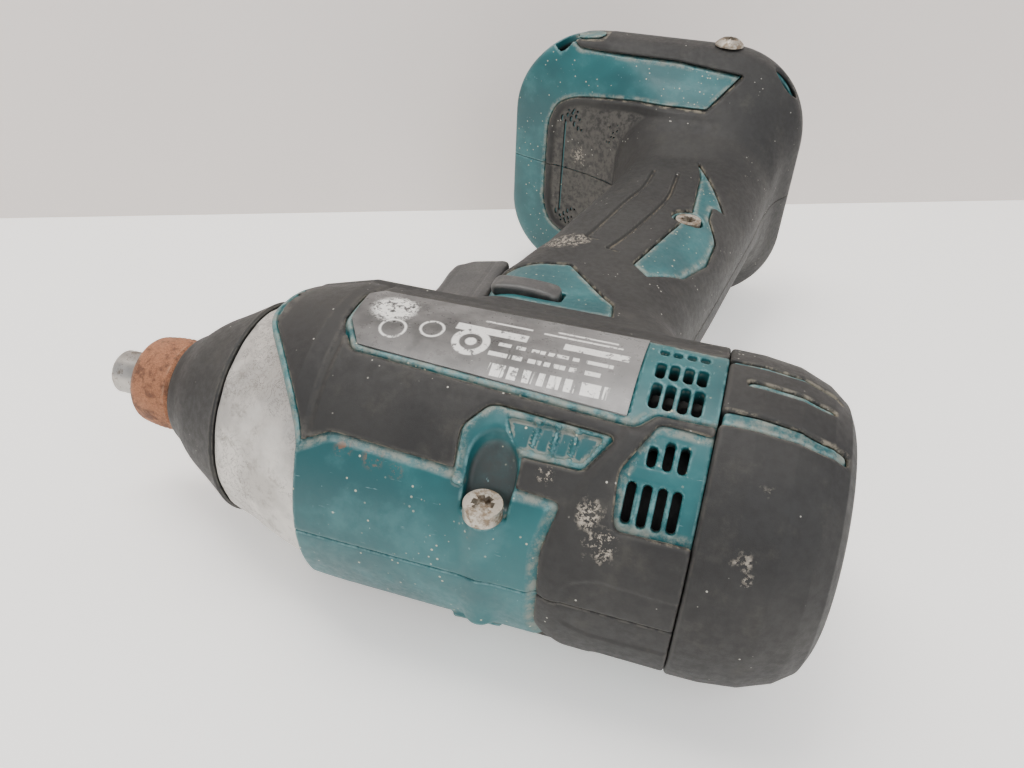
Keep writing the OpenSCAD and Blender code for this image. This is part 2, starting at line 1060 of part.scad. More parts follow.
module terminal_block() {
  color(plastic)
    place()
      difference() {
        translate([84, 144, -18])
          cube([28, 9.5, 36]);
        for (z = [-12, 0, 12])
          translate([85, 140, z - 0.5])
            cube([14, 20, 1]);
      }
}

module battery_terminals() {
  color(brass)
    place()
      for (z = [-12, 0, 12])
        translate([85.1, 142, z - 0.4])
          cube([13.8, z == 0 ? 13 : 15, 0.8]);
}

// A bundle strand through the points, running from the first to the last.
module wire(points, r, sides = 8) {
  n = len(points) - 1;
  pts = [for (i = [0 : n], j = [0 : sides - 1])
    let (d = points[min(i + 1, n)] - points[max(i - 1, 0)], u = cross(d, [0, 0, 1]) / norm(d),
      v = cross(d, u) / norm(d), a = -360 * j / sides)
      points[i] + r * (cos(a) * u / norm(u) + sin(a) * v / norm(v))];
  skins = [for (i = [0 : n - 1], j = [0 : sides - 1])
    let (k = (j + 1) % sides)
      [i * sides + j, i * sides + k, (i + 1) * sides + k, (i + 1) * sides + j]];
  start_cap = [for (j = [sides - 1 : -1 : 0]) j];
  end_cap = [for (j = [0 : sides - 1]) n * sides + j];
  polyhedron(points = pts, faces = concat([start_cap], skins, [end_cap]));
}

module leads() {
  color([0.5, 0.1, 0.1])
    place()
      for (s = [-1, 1]) {
        wire([[95, 143.8, s * 5], [97, 125, s * 7], [92, 98, s * 7], [88, 63.5, s * 7]], 1.2);
        wire([[97, 35.7, s * 7], [99, 29, s * 6.5], [104, 24.6, s * 6.2], [107, 22.7, s * 6.1],
          [117.8, 22.7, s * 6.1]], 0.6);
      }
}

module label_plate() {
  color([0.1, 0.1, 0.1])
    place()
      intersection() {
        tube(50, 60, shell_r + 0.45, shell_r + 0.05);
        linear_extrude(far)
          polygon(label_outline);
      }
}

housing_right();
housing_left();
overmold_right();
overmold_left();
rear_cover();
rear_cover_screws();
housing_screws();
hook_screw();
hook_inserts();
hammer_case();
bumper();
anvil();
anvil_bush();
anvil_washer();
bit_sleeve();
sleeve_spring();
sleeve_washer();
sleeve_ring();
bit_balls();
hammer();
cam_balls();
hammer_spring();
spring_washer();
spindle();
planet_pins();
planet_gear_1();
planet_gear_2();
ring_gear();
bearing_box();
spindle_bearing();
rotor();
armature_core();
windings();
commutator();
fan();
rotor_bearing_front();
rotor_bearing_rear();
motor_yoke();
magnets();
brush_holder();
carbon_brushes();
brush_springs();
switch_body();
trigger();
trigger_spring();
reversing_lever();
led_lens();
led_board();
terminal_block();
battery_terminals();
leads();
label_plate();
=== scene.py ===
"""Cordless impact driver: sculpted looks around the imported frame.

Shapes are written as signed distances in the tool's own axes, in millimetres: x from the nose to the
motor end along the spindle, y down the handle, z to the right side. to_row() lays them in the frame.
"""

import json
import math
from types import SimpleNamespace

import bmesh
import bpy
import numpy as np
import openvdb
from mathutils import Matrix, Vector


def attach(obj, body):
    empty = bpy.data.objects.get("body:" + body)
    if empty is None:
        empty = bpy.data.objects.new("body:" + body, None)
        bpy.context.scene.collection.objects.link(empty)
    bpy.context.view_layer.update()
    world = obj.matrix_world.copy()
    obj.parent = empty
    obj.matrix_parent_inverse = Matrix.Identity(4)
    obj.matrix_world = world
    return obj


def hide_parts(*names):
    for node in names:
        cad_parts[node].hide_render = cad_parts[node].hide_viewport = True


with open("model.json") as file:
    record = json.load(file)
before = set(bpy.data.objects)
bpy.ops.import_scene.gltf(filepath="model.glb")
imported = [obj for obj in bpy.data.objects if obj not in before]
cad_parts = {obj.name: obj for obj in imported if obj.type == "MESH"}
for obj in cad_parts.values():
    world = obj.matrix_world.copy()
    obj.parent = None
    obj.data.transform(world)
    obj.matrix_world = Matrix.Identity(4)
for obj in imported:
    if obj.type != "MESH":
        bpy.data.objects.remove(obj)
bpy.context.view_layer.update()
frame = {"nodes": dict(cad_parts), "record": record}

# ---------------------------------------------------------------- frame of the tool
TOOL_LEN, HEAD_R, FOOT_Y, FOOT_W, RIM_Y = 137.0, 27.8, 162.4, 79.0, 143.5
SEAM_X = 115.4
SKIN = 0.8
TILT = math.atan(FOOT_W / 2 / RIM_Y) - math.asin(HEAD_R / math.hypot(RIM_Y, FOOT_W / 2))
Y_MAX = FOOT_Y * math.cos(TILT) + FOOT_W / 2 * math.sin(TILT)
SHIFT = np.array([-TOOL_LEN / 2, (HEAD_R - Y_MAX) / 2, HEAD_R])
ROT = np.array([[1, 0, 0], [0, math.cos(TILT), -math.sin(TILT)], [0, math.sin(TILT), math.cos(TILT)]])


def to_row(points):
    return (np.asarray(points, float) @ ROT.T + SHIFT) * 0.001


# ---------------------------------------------------------------- distance helpers
def smin(a, b, k):
    h = np.clip(0.5 + 0.5 * (b - a) / k, 0, 1)
    return b + (a - b) * h - k * h * (1 - h)


def smax(a, b, k):
    return -smin(-a, -b, k)


def soft(keys, values, blur):
    """A smooth curve through keys: straight pieces with their corners rounded over about blur mm."""
    step = 0.1
    xs = np.arange(keys[0] - 4 * blur, keys[-1] + 4 * blur, step)
    ys = np.interp(xs, keys, values)
    n = int(3 * blur / step)
    w = np.exp(-0.5 * (np.arange(-n, n + 1) * step / blur) ** 2)
    ys = np.convolve(np.pad(ys, n, mode="edge"), w / w.sum(), mode="valid")
    return lambda t: np.interp(t, xs, ys)


def fillet(points, radius, n=5):
    """Rounds every corner of an outline; a corner given as (u, v, r) has its own radius."""
    out = []
    m = len(points)
    for i in range(m):
        p = np.array(points[i][:2], float)
        a = np.array(points[i - 1][:2], float)
        b = np.array(points[(i + 1) % m][:2], float)
        r = points[i][2] if len(points[i]) > 2 else radius
        u, v = a - p, b - p
        lu, lv = np.hypot(*u), np.hypot(*v)
        t = min(r, 0.45 * lu, 0.45 * lv)
        if t < 0.05:
            out.append(p)
            continue
        s, e = p + u / lu * t, p + v / lv * t
        for k in range(n + 1):
            f = k / n
            out.append((1 - f) ** 2 * s + 2 * f * (1 - f) * p + f ** 2 * e)
    return np.array(out)


def polygon_distance(poly, u, v):
    d = np.full(u.shape, 1e9)
    inside = np.zeros(u.shape, bool)
    for (ax, ay), (bx, by) in zip(poly, np.roll(poly, -1, axis=0)):
        ex, ey = bx - ax, by - ay
        wx, wy = u - ax, v - ay
        t = np.clip((wx * ex + wy * ey) / (ex * ex + ey * ey + 1e-12), 0, 1)
        d = np.minimum(d, (wx - t * ex) ** 2 + (wy - t * ey) ** 2)
        cross = ((ay <= v) & (by > v) & (ex * wy - ey * wx > 0)) | \
                ((ay > v) & (by <= v) & (ex * wy - ey * wx < 0))
        inside ^= cross
    return np.sqrt(d) * np.where(inside, -1, 1)


class FlatGrid:
    """Columns of values on a fine flat grid, read back smoothly."""

    def __init__(self, lo, hi, step, spare):
        self.lo = np.array(lo, float)
        self.step = step
        self.n = np.ceil((np.array(hi) - self.lo) / step).astype(int) + spare
        self.u, self.v = np.meshgrid(self.lo[0] + np.arange(self.n[0]) * step,
                                     self.lo[1] + np.arange(self.n[1]) * step, indexing="ij")

    def keep(self, *columns):
        self.data = np.stack(columns, -1).astype(np.float32)

    def read(self, u, v):
        """The columns at (u, v), and how far that lies beyond the grid."""
        a = (u - self.lo[0]) / self.step
        b = (v - self.lo[1]) / self.step
        ac = np.clip(a, 0, self.n[0] - 1.001)
        bc = np.clip(b, 0, self.n[1] - 1.001)
        i, j = ac.astype(np.int32), bc.astype(np.int32)
        fa, fb = (ac - i)[:, None], (bc - j)[:, None]
        g = self.data
        d = (g[i, j] * (1 - fa) + g[i + 1, j] * fa) * (1 - fb) + \
            (g[i, j + 1] * (1 - fa) + g[i + 1, j + 1] * fa) * fb
        return d.T, np.hypot(a - ac, b - bc) * self.step


class Outline(FlatGrid):
    """Signed distance to a rounded outline."""

    def __init__(self, points, radius=0.6, step=0.12, margin=5.0):
        poly = fillet(points, radius)
        super().__init__(poly.min(0) - margin, poly.max(0) + margin, step, 2)
        self.keep(polygon_distance(poly, self.u, self.v))

    def __call__(self, u, v):
        (d,), beyond = self.read(u, v)
        return d + beyond


def curve_points(points, n=6):
    """Catmull-Rom points through a short list."""
    p = np.array([points[0]] + list(points) + [points[-1]], float)
    out = []
    for i in range(1, len(p) - 2):
        for k in range(n):
            t = k / n
            out.append(0.5 * (2 * p[i] + (p[i + 1] - p[i - 1]) * t +
                              (2 * p[i - 1] - 5 * p[i] + 4 * p[i + 1] - p[i + 2]) * t * t +
                              (3 * p[i] - 3 * p[i + 1] + p[i + 2] - p[i - 1]) * t ** 3))
    out.append(p[-2])
    return np.array(out)


# ---------------------------------------------------------------- distances to meshes
BLOCK = 8          # samples along a block
BATCH = 3000       # blocks worked out together
POLISH = 2         # steps that bring the points onto the true surface
CURV_REACH = 0.5   # how far round a point its curvature is felt, mm


def mesh_from(name, fn, lo, hi, h, extras=None):
    """Meshes the surface fn = 0 inside a box, in blocks, so only space near the surface is worked out."""
    lo, hi = np.array(lo, float), np.array(hi, float)
    b = BLOCK
    big = h * b
    n = np.ceil((hi - lo) / big).astype(int)
    c = [lo[i] + (np.arange(n[i]) + 0.5) * big - h / 2 for i in range(3)]
    cx, cy, cz = np.meshgrid(*c, indexing="ij")
    d = fn(cx.ravel(), cy.ravel(), cz.ravel()).reshape(n)
    vol = np.empty(tuple(n * b), np.float32)
    v6 = vol.reshape(n[0], b, n[1], b, n[2], b)
    v6[:] = (np.sign(d) * 3 * h)[:, None, :, None, :, None]
    live = np.argwhere(np.abs(d) < big * 1.05)
    off = np.stack(np.meshgrid(*[np.arange(b) * h] * 3, indexing="ij"), -1).reshape(-1, 3)
    for s in range(0, len(live), BATCH):
        part = live[s:s + BATCH]
        p = (lo + part * big)[:, None, :] + off[None]
        q = fn(p[..., 0].ravel(), p[..., 1].ravel(), p[..., 2].ravel())
        q = np.clip(q, -3 * h, 3 * h).reshape(len(part), b, b, b)
        v6[part[:, 0], :, part[:, 1], :, part[:, 2], :] = q
    grid = openvdb.FloatGrid(3 * h)
    grid.copyFromArray(vol)
    pts, quads = grid.convertToQuads(isovalue=0.0)
    pts = pts.astype(float) * h + lo
    for _ in range(POLISH):
        f, g = slope(fn, pts, h * 0.2)
        step = f / np.maximum((g * g).sum(1), 0.2)
        step = np.clip(step, -h * 0.6, h * 0.6)
        pts -= step[:, None] * g
    f, g = slope(fn, pts, h * 0.25)
    normals = g / np.maximum(np.linalg.norm(g, axis=1), 1e-9)[:, None]
    lap = -6 * f
    for k in range(3):
        for sgn in (-1, 1):
            q = pts.copy()
            q[:, k] += sgn * CURV_REACH
            lap = lap + fn(q[:, 0], q[:, 1], q[:, 2])
    attrs = {"curv": np.clip(lap / CURV_REACH, -2, 2)}
    flat = np.ones(len(pts))
    attrs.update(extras(pts[:, 0], pts[:, 1], pts[:, 2]) if extras else {"deep": flat * 0, "rim": flat * 5})
    quads = outward(pts, np.asarray(quads, np.int64))
    return make_mesh(name, pts, quads, normals, attrs)


def slope(fn, p, e):
    """Value and gradient from four points round each place."""
    ks = np.array([[1, -1, -1], [-1, -1, 1], [-1, 1, -1], [1, 1, 1]], float)
    vals = [fn(*(p + e * k).T) for k in ks]
    g = sum(v[:, None] * k[None] for v, k in zip(vals, ks)) / (4 * e)
    return sum(vals) / 4, g


def outward(pts, quads):
    """The faces, turned so that they face away from the solid."""
    vol = 0.0
    for f in (quads[:, :3], quads[:, [0, 2, 3]]):
        a, b, c = pts[f[:, 0]], pts[f[:, 1]], pts[f[:, 2]]
        vol += np.einsum("ij,ij->i", a, np.cross(b, c)).sum()
    return quads[:, ::-1] if vol < 0 else quads


def put_in_scene(name, data):
    ob = bpy.data.objects.new(name, data)
    bpy.context.scene.collection.objects.link(ob)
    return ob


def make_mesh(name, pts, quads, normals=None, attrs=None):
    """Points in tool millimetres to an object in the row's frame."""
    me = bpy.data.meshes.new(name)
    nq = len(quads)
    me.vertices.add(len(pts))
    me.vertices.foreach_set("co", to_row(pts).astype(np.float32).ravel())
    loops = quads.ravel().astype(np.int32)
    me.loops.add(len(loops))
    me.loops.foreach_set("vertex_index", loops)
    me.polygons.add(nq)
    me.polygons.foreach_set("loop_start", (np.arange(nq) * 4).astype(np.int32))
    me.polygons.foreach_set("use_smooth", np.full(nq, True))
    me.update(calc_edges=True)
    me.validate()
    if normals is not None and len(me.vertices) == len(normals):
        me.normals_split_custom_set_from_vertices((normals @ ROT.T).astype(np.float32).tolist())
    for key, val in (attrs or {}).items():
        a = me.attributes.new(key, "FLOAT", "POINT")
        if len(val) == len(me.vertices):
            a.data.foreach_set("value", np.asarray(val, np.float32))
    return put_in_scene(name, me)


def finish_piece(ob, body, material, nodes=()):
    ob.data.materials.clear()
    ob.data.materials.append(material)
    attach(ob, body)
    if nodes:
        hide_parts(*nodes)
    return ob


# ---------------------------------------------------------------- the skin's layout
PER_DEG = 27.4 * math.pi / 180   # arc on the head for one degree round the spindle
HIDDEN = 1.35                    # how deep the hard shell lies under the rubber


def on_head(points):
    """(distance from the tip, degrees round from the top) to flat map units."""
    return [(p[0], p[1] * PER_DEG) + tuple(p[2:]) for p in points]


def step01(t):
    t = np.clip(t, 0, 1)
    return t * t * (3 - 2 * t)


class Chart(FlatGrid):
    """One flat map of the skin: how far outside the hard-plastic panels, how deep their surface lies,
    the rubber's own relief, and the holes cut straight through."""

    def __init__(self, lo, hi, step=0.15):
        super().__init__(lo, hi, step, 1)
        shape = self.u.shape
        self.open = np.full(shape, 50.0)
        self.lift = np.zeros(shape)
        self.relief = np.zeros(shape)
        self.holes = np.full(shape, 50.0)

    def inside(self, points, radius=0.8):
        return polygon_distance(fillet(points, radius), self.u, self.v)

    def line(self, points, smooth=True):
        pts = curve_points(points) if smooth else np.array(points, float)
        d = np.full(self.u.shape, 1e9)
        for a, b in zip(pts[:-1], pts[1:]):
            e, wx, wy = b - a, self.u - a[0], self.v - a[1]
            t = np.clip((wx * e[0] + wy * e[1]) / (e @ e), 0, 1)
            d = np.minimum(d, np.hypot(wx - t * e[0], wy - t * e[1]))
        return d

    def panel(self, points, depth, ramp=0.5, radius=0.8):
        s = self.inside(points, radius)
        self.open = np.minimum(self.open, s)
        self.lift += (HIDDEN - depth) * step01((0.35 - s) / (ramp + 0.35))
        return s

    def sink(self, points, depth, ramp=0.35, radius=0.6):
        """A hollow in a panel's surface."""
        s = self.inside(points, radius)
        self.lift -= depth * step01((ramp / 2 - s) / ramp)
        return s

    def groove(self, points, width, depth, smooth=True):
        self.relief -= depth * step01(1 - self.line(points, smooth) / width)

    def slot(self, a, w0, w1, width):
        r = width / 2
        t = np.clip(self.v, w0 + r, w1 - r)
        self.holes = np.minimum(self.holes, np.hypot(self.u - a, self.v - t) - r)

    def freeze(self):
        self.keep(self.open, self.lift, self.relief, self.holes)

    def __call__(self, u, v):
        (opening, lift, relief, holes), beyond = self.read(u, v)
        return opening + beyond, lift, relief, holes + beyond


def head_chart():
    c = Chart((36, -2), (119, 60))
    # The big side panel, its rim sloping down to the rubber
    c.panel(on_head([(48, -20), (48, 29), (53.7, 33), (58.6, 39), (77.3, 37), (81.3, 36), (88.5, 35),
                     (95.8, 34), (94.9, 26), (93.9, 17), (94.1, 7), (94.6, -13)]), 0.35, 1.6, 1.2)
    # Frame of the side grille and the scoop
    c.panel(on_head([(79.1, 51), (82, 59), (83.3, 60), (92.4, 59), (101.5, 58, 1.2), (98, 46),
                     (88.1, 46), (88.3, 33), (79.5, 33)]), 0.45, 0.3, 0.8)
    s = c.sink(on_head([(85.6, 57), (100, 57, 0.9), (97.7, 48), (87.4, 48)]), 2.6, 0.5, 0.5)
    for a in (90.0, 93.0, 95.9):
        rib = np.abs(c.u - a - 0.07 * (c.v - 24))
        c.lift += 2.0 * step01((0.72 - rib) / 0.4) * step01((0.3 - s) / 0.4)
    # Recess of the lower vents
    c.panel(on_head([(103.4, 48), (107.4, 65), (108.6, 65.6), (120, 64.5), (120, 31), (104.7, 30.5),
                     (104, 34)]), 1.3, 0.5, 1.0)
    c.sink(on_head([(104.9, 51.6), (107.8, 61.8), (112.6, 61.6), (113, 51)]), 0.45, 0.35, 0.5)
    c.sink(on_head([(103.9, 47.2), (112.9, 46.9), (113, 31.4), (105, 31.4)]), 0.45, 0.35, 0.5)
    for a, t0, t1 in ((107.3, 51.8, 58.6), (109.6, 51.6, 61.3), (111.8, 51.6, 60.6)):
        c.slot(a, t0 * PER_DEG, t1 * PER_DEG, 1.35)
    for a, t0 in ((105.4, 32.6), (107.7, 32.2), (109.9, 32.2), (112.0, 32.6)):
        c.slot(a, t0 * PER_DEG, 46.3 * PER_DEG, 1.35)
    # Label seat and the upper vents
    c.panel(on_head([(53.9, 98.5), (55.7, 104.4), (102.7, 107), (106, 106.5), (112, 105.5), (120, 106),
                     (120, 69.5), (106.8, 69.3), (103.9, 63.3), (57.5, 69), (54.1, 80)]), 0.55, 0.3, 0.9)
    c.sink(on_head([(54.3, 97.8), (56, 103.8), (102.5, 106.2), (102.6, 65.9), (58.1, 70.9),
                    (54.7, 81)]), 0.32, 0.25, 1.0)
    for t, half in ((76.2, 5.4), (88, 4.4), (99.5, 2.4)):
        lean = (88 - t) * 0.012
        for a in (105.5, 107.6, 109.8, 111.9):
            c.slot(a + lean, (t - half) * PER_DEG, (t + half) * PER_DEG, 1.5)
    # Rubber: a soft step behind the crease, and the flat along the top
    crease = [(103, 62), (101.5, 55), (98.7, 42), (96.6, 25), (95.8, 12), (95.6, -4)]
    behind = on_head(crease + [(125, -4), (125, 62)])
    s = polygon_distance(np.array(behind), c.u, c.v)
    c.relief -= 0.55 * step01((s + 1.1) / 2.2)
    s = c.inside(on_head([(97.5, -9), (98.5, 9), (103, 13), (125, 11), (125, -9)]), 1.5)
    c.relief -= 0.28 * step01((0.5 - s) / 1.0)
    c.relief -= 0.35 * step01(1 - np.abs(c.u - 54.9) / 1.0) * step01((c.v - 15) / 3)
    # Parting groove along the top, beside the middle plane
    c.relief -= 0.15 * step01(1 - c.v / 0.5)
    c.lift -= 0.15 * step01(1 - c.v / 0.5)
    c.freeze()
    return c


def handle_chart():
    c = Chart((34, 22), (128, 166), 0.2)
    c.panel([(30, 22), (93.5, 22), (92.3, 31), (80, 46.4), (66, 42.6), (64.4, 45), (62.8, 49.5),
             (62, 58), (55, 62), (30, 62)], 0.4, 0.4, 1.0)
    c.panel([(98.6, 113, 0.3), (108, 90.5, 0.3), (105, 90), (105, 83.3), (107.8, 77), (107, 66.5),
             (103, 54.5), (96.2, 47.5, 0.4), (92.4, 52, 0.4), (98, 72), (101, 82), (100.2, 105)],
            0.45, 0.4, 0.9)
    s = np.hypot(c.u - 100.5, c.v - 79.5) - 3.9
    c.open = np.minimum(c.open, s)
    c.lift += (HIDDEN - 0.45) * step01((0.35 - s) / 0.7) * step01((c.open + 0.5) / 0.5)
    c.lift = np.minimum(c.lift, HIDDEN - 0.4)
    c.groove([(94.2, 104), (94.2, 98), (94, 88), (91.2, 74), (88.5, 64), (85.9, 56.6)], 0.8, 0.7)
    c.groove([(88, 104), (87.2, 93), (84.6, 81.6), (82.2, 69), (80.2, 60.4)], 0.8, 0.6)
    c.groove([(85.9, 56.6), (88.2, 55.8)], 0.7, 0.45, False)
    c.groove([(80.2, 60.4), (82.6, 59.8)], 0.7, 0.4, False)
    c.freeze()
    return c


def foot_chart():
    c = Chart((30, -2), (130, 46), 0.2)
    c.panel([(20, -20), (49, -20), (49, 13, 4), (51.6, 19.6, 4), (57.7, 22.5, 3), (76.4, 25),
             (96.7, 25.4, 0.6), (104.5, 33.6, 0.5), (86, 35.2), (57, 35.4), (54.2, 37.2), (64, 38.4),
             (66, 60), (20, 60)], 0.4, 0.5, 1.0)
    # The black face inside the band lies lower than the band
    low = c.inside([(51, -20), (51, 13, 4), (53.4, 18.6, 4), (58.5, 20.9, 3), (76.4, 23.2), (99, 23.6),
                    (112, 20), (112, -20)], 2.0)
    drop = 0.9 * step01((1.0 - low) / 2.5)
    c.relief -= drop
    c.lift -= drop
    c.panel([(112.5, 37.5, 0.4), (119.5, 30, 0.4), (127, 25), (127, 33), (119, 44)], 0.5, 0.4, 1.0)
    c.freeze()
    return c


HEAD, HANDLE, FOOT = head_chart(), handle_chart(), foot_chart()

ys = [10, 20, 31, 44, 57, 62, 71, 107, 122, 130, 136, 140, 143.5, 163]
x_front = soft(ys, [57, 59.5, 63.6, 62.0, 65.2, 67, 68.7, 75.2, 76.5, 72.5, 61, 47.5, 36.9, 36.9], 1.1)
yr = [10, 20, 34, 48, 71, 107, 125, 136, 143.5, 163]
x_rear = soft(yr, [114, 112, 106.5, 107.3, 111, 116.3, 118.3, 120.5, 124.6, 124.6], 1.8)
yw = [10, 20, 34, 50, 71, 95, 115, 126, 134, 140, 143.5, 150, 157, 162.4]
half_w = soft(yw, [21.5, 20.5, 17.6, 16.7, 17, 16.8, 17.4, 21, 29, 36, 39.1, 39.3, 37.8, 35.6], 1.2)
yc = [10, 50, 115, 130, 143.5, 163]
corner = soft(yc, [12, 13.5, 14.5, 17, 25, 25], 2.0)


def handle_body(x, y, z):
    a, b, w, r = x_front(y), x_rear(y), half_w(y), corner(y)
    r = np.minimum(r, w - 1.5)
    d = 0.5
    lean = np.maximum(np.abs(x_front(y + d) - a), np.abs(half_w(y + d) - w)) / d
    qx = np.abs(x - (a + b) / 2) - ((b - a) / 2 - r)
    qz = np.abs(z) - (w - r)
    f = np.hypot(np.maximum(qx, 0), np.maximum(qz, 0)) + np.minimum(np.maximum(qx, qz), 0) - r
    f = f / np.sqrt(1 + lean * lean * 0.8)
    return smax(smax(f, y - FOOT_Y, 1.5), 12 - y, 1.0)


def head_body(x, rho):
    return rho - (np.interp(x, [39, 51, 56], [24, 27, 27]) + SKIN)


def front_cut(x, y):
    slant = (x - 39) * -0.785 + (y + 4) * -0.62
    return smax(39 - x, smin(slant, 53.7 - x, 2.0), 2.0)


# Where the skin's zones meet, in mm down the handle, and how far back the nose's rim reaches
HEAD_END, SIDE_END, RIM_END, SEAM_END, CUT_END = 14, 24.0, 26, 28, 40
FOOT_TOP = 127
RIM_BACK = 60
FAR_OFF = 5        # a distance that stands for nothing near


def skin_fields(x, y, z):
    """Every distance the shell and the rubber share, at points of one side."""
    az = np.abs(z)
    rho = np.hypot(y, z)
    grip = handle_body(x, y, z)
    # The head's own field fades out behind the seam, where only the handle goes on
    head = head_body(x, rho) + np.maximum(x - SEAM_X - 1, 0) * 3
    body = smin(head, grip, 3.2)
    cut = np.where(y < CUT_END, front_cut(x, y), -FAR_OFF)
    cut = np.maximum(cut, np.where(y < SEAM_END, x - SEAM_X, -FAR_OFF))
    o1, l1, r1, h1 = HEAD(x, np.degrees(np.arctan2(az, -y)) * PER_DEG)
    o2, l2, r2, _ = HANDLE(x, y)
    o3, l3, r3, _ = FOOT(x, az)
    o2 = np.maximum(o2, SIDE_END - y)
    fade = step01((y - SIDE_END + 0.5) / 2)
    o3 = np.maximum(o3, FOOT_TOP + 2 - y)
    low = step01((y - FOOT_TOP) / 4)
    by_rim = (y < RIM_END) & (x < RIM_BACK)
    rim = np.where(by_rim, -0.6 - cut, FAR_OFF)
    opening = np.minimum(np.minimum(o1, o2), np.minimum(o3, rim))
    upper = step01((HEAD_END - y) / 3)
    lift = l1 * upper + l2 * fade * (1 - low) + l3 * low
    lift = np.maximum(lift, np.where(by_rim, (HIDDEN - SKIN) * step01((cut + 1.1) / 0.5), 0))
    relief = r1 * upper + r2 * fade * (1 - low) + r3 * low
    return SimpleNamespace(body=body, cut=cut, opening=opening, lift=lift, relief=relief, rho=rho, grip=grip,
                           holes=np.where(y < HEAD_END, h1, float(FAR_OFF)))


def box(x, y, z, lo, hi, r=0.0):
    q = [np.abs(p - (a + b) / 2) - ((b - a) / 2 - r) for p, a, b in zip((x, y, z), lo, hi)]
    m = np.maximum(np.maximum(q[0], q[1]), q[2])
    return np.sqrt(sum(np.maximum(k, 0) ** 2 for k in q)) + np.minimum(m, 0) - r


# Clamshell screws: distance along, distance down, height of the head's seat, side of the head
SCREWS = [(85, -24.7, 11.5, 1), (100.5, 79.5, 13.5, 1), (52, 146.5, 13.5, 1), (116.5, 146.5, 13.5, 1),
          (80, 68.6, 13.5, -1), (85, 104, 13.5, -1), (106, 119, 13.5, -1)]
SEAT_R = 3.5
SCOOP_Y = -20.6
SCOOP_FLARE = 0.06   # how much the scoop widens for each mm outward
WEB_R = 25.0
# Plain openings: trigger window, lever slot, the two widths of the battery slide, terminal bay
WINDOWS = [((30, 30.6, -9.9), (72, 57.4, 9.9), 0.6), ((71.7, 27.0, -50), (82.3, 32.8, 50), 0.3),
           ((20, 152, -28.5), (114, 158, 28.5), 0.4), ((20, 152, -24), (114, 180, 24), 0.4),
           ((83.5, 140, -18.4), (112.5, 154, 18.4), 0.4)]


def cutouts(x, y, z, side):
    az = np.abs(z)
    # Room for the lever's paddles, then the job light's hole
    c = box(x, y, az, (67.4, 27.0, 12.5), (82.6, 32.8, 60), 0.8)
    c = np.minimum(c, np.maximum(np.hypot(y - 27.6, z) - 2.3, x - 61.4))
    for lo, hi, r in WINDOWS:
        c = np.minimum(c, box(x, y, z, lo, hi, r))
    for sx, sy, sz, sd in SCREWS:
        if sd == side:
            t = np.clip(y, sy, SCOOP_Y) if sy < 0 else sy
            hole = np.hypot(x - sx, y - t) - (SEAT_R + (SCOOP_FLARE * (az - sz) if sy < 0 else 0))
            hole = smax(hole, sz - az, 0.5)
            # The scoop stops short of the bore
            c = np.minimum(c, smax(hole, WEB_R - np.hypot(y, z), 0.8) if sy < 0 else hole)
    return c


def skin_shell(side):
    """The hard half-shell, hollow, with its vents, grille, scoop and seats."""
    def fn(x, y, z):
        z = z * side
        s = skin_fields(x, y, z)
        f = s.body + HIDDEN - s.lift
        f = smax(f, s.cut, 0.4)
        bore = s.rho - np.interp(x, [38, 50, 54.9, 55], [21.4, 25.2, 25.7, 24.2])
        sx, sy, sz, _ = SCREWS[0]
        seat = smax(np.hypot(x - sx, y - sy) - 2.6, np.abs(z) - sz, 0.8)
        f = smin(f, seat, 1.6)
        hollow = np.minimum(bore, np.maximum(s.grip + 3.0, y - 150))
        f = np.maximum(f, -hollow)
        f = smax(f, -s.holes, 0.25)
        f = smax(f, -cutouts(x, y, z, side), 0.5)
        return np.maximum(f, 0.05 - z)
    return fn


def skin_rubber(side):
    """The soft overmould of one half, standing above the hard shell's panels."""
    def fn(x, y, z):
        z = z * side
        s = skin_fields(x, y, z)
        f = s.body - s.relief
        f = smax(f, 0.15 - s.opening, 0.9)
        f = smax(f, -(s.body + HIDDEN - 0.05 - s.lift), 0.2)
        f = smax(f, s.cut + np.where(x < RIM_BACK, 0.55, 0.0), 0.6)
        f = smax(f, y - 158, 1.0)
        f = np.maximum(f, -(s.rho - 24.4))
        f = smax(f, -cutouts(x, y, z, side) + 0.15, 0.5)
        return np.maximum(f, 0.05 - z)
    return fn


def skin_marks(side):
    """For the finish: how deep a point lies under the skin, and its distance from the rubber's edge."""
    def marks(x, y, z):
        s = skin_fields(x, y, z * side)
        return {"deep": np.clip(-s.body, -1, 8), "rim": np.clip(s.opening, -FAR_OFF, FAR_OFF)}
    return marks


# ---------------------------------------------------------------- materials
def srgb(r, g, b):
    def lin(c):
        c /= 255
        return c / 12.92 if c <= 0.04045 else ((c + 0.055) / 1.055) ** 2.4
    return lin(r), lin(g), lin(b), 1.0


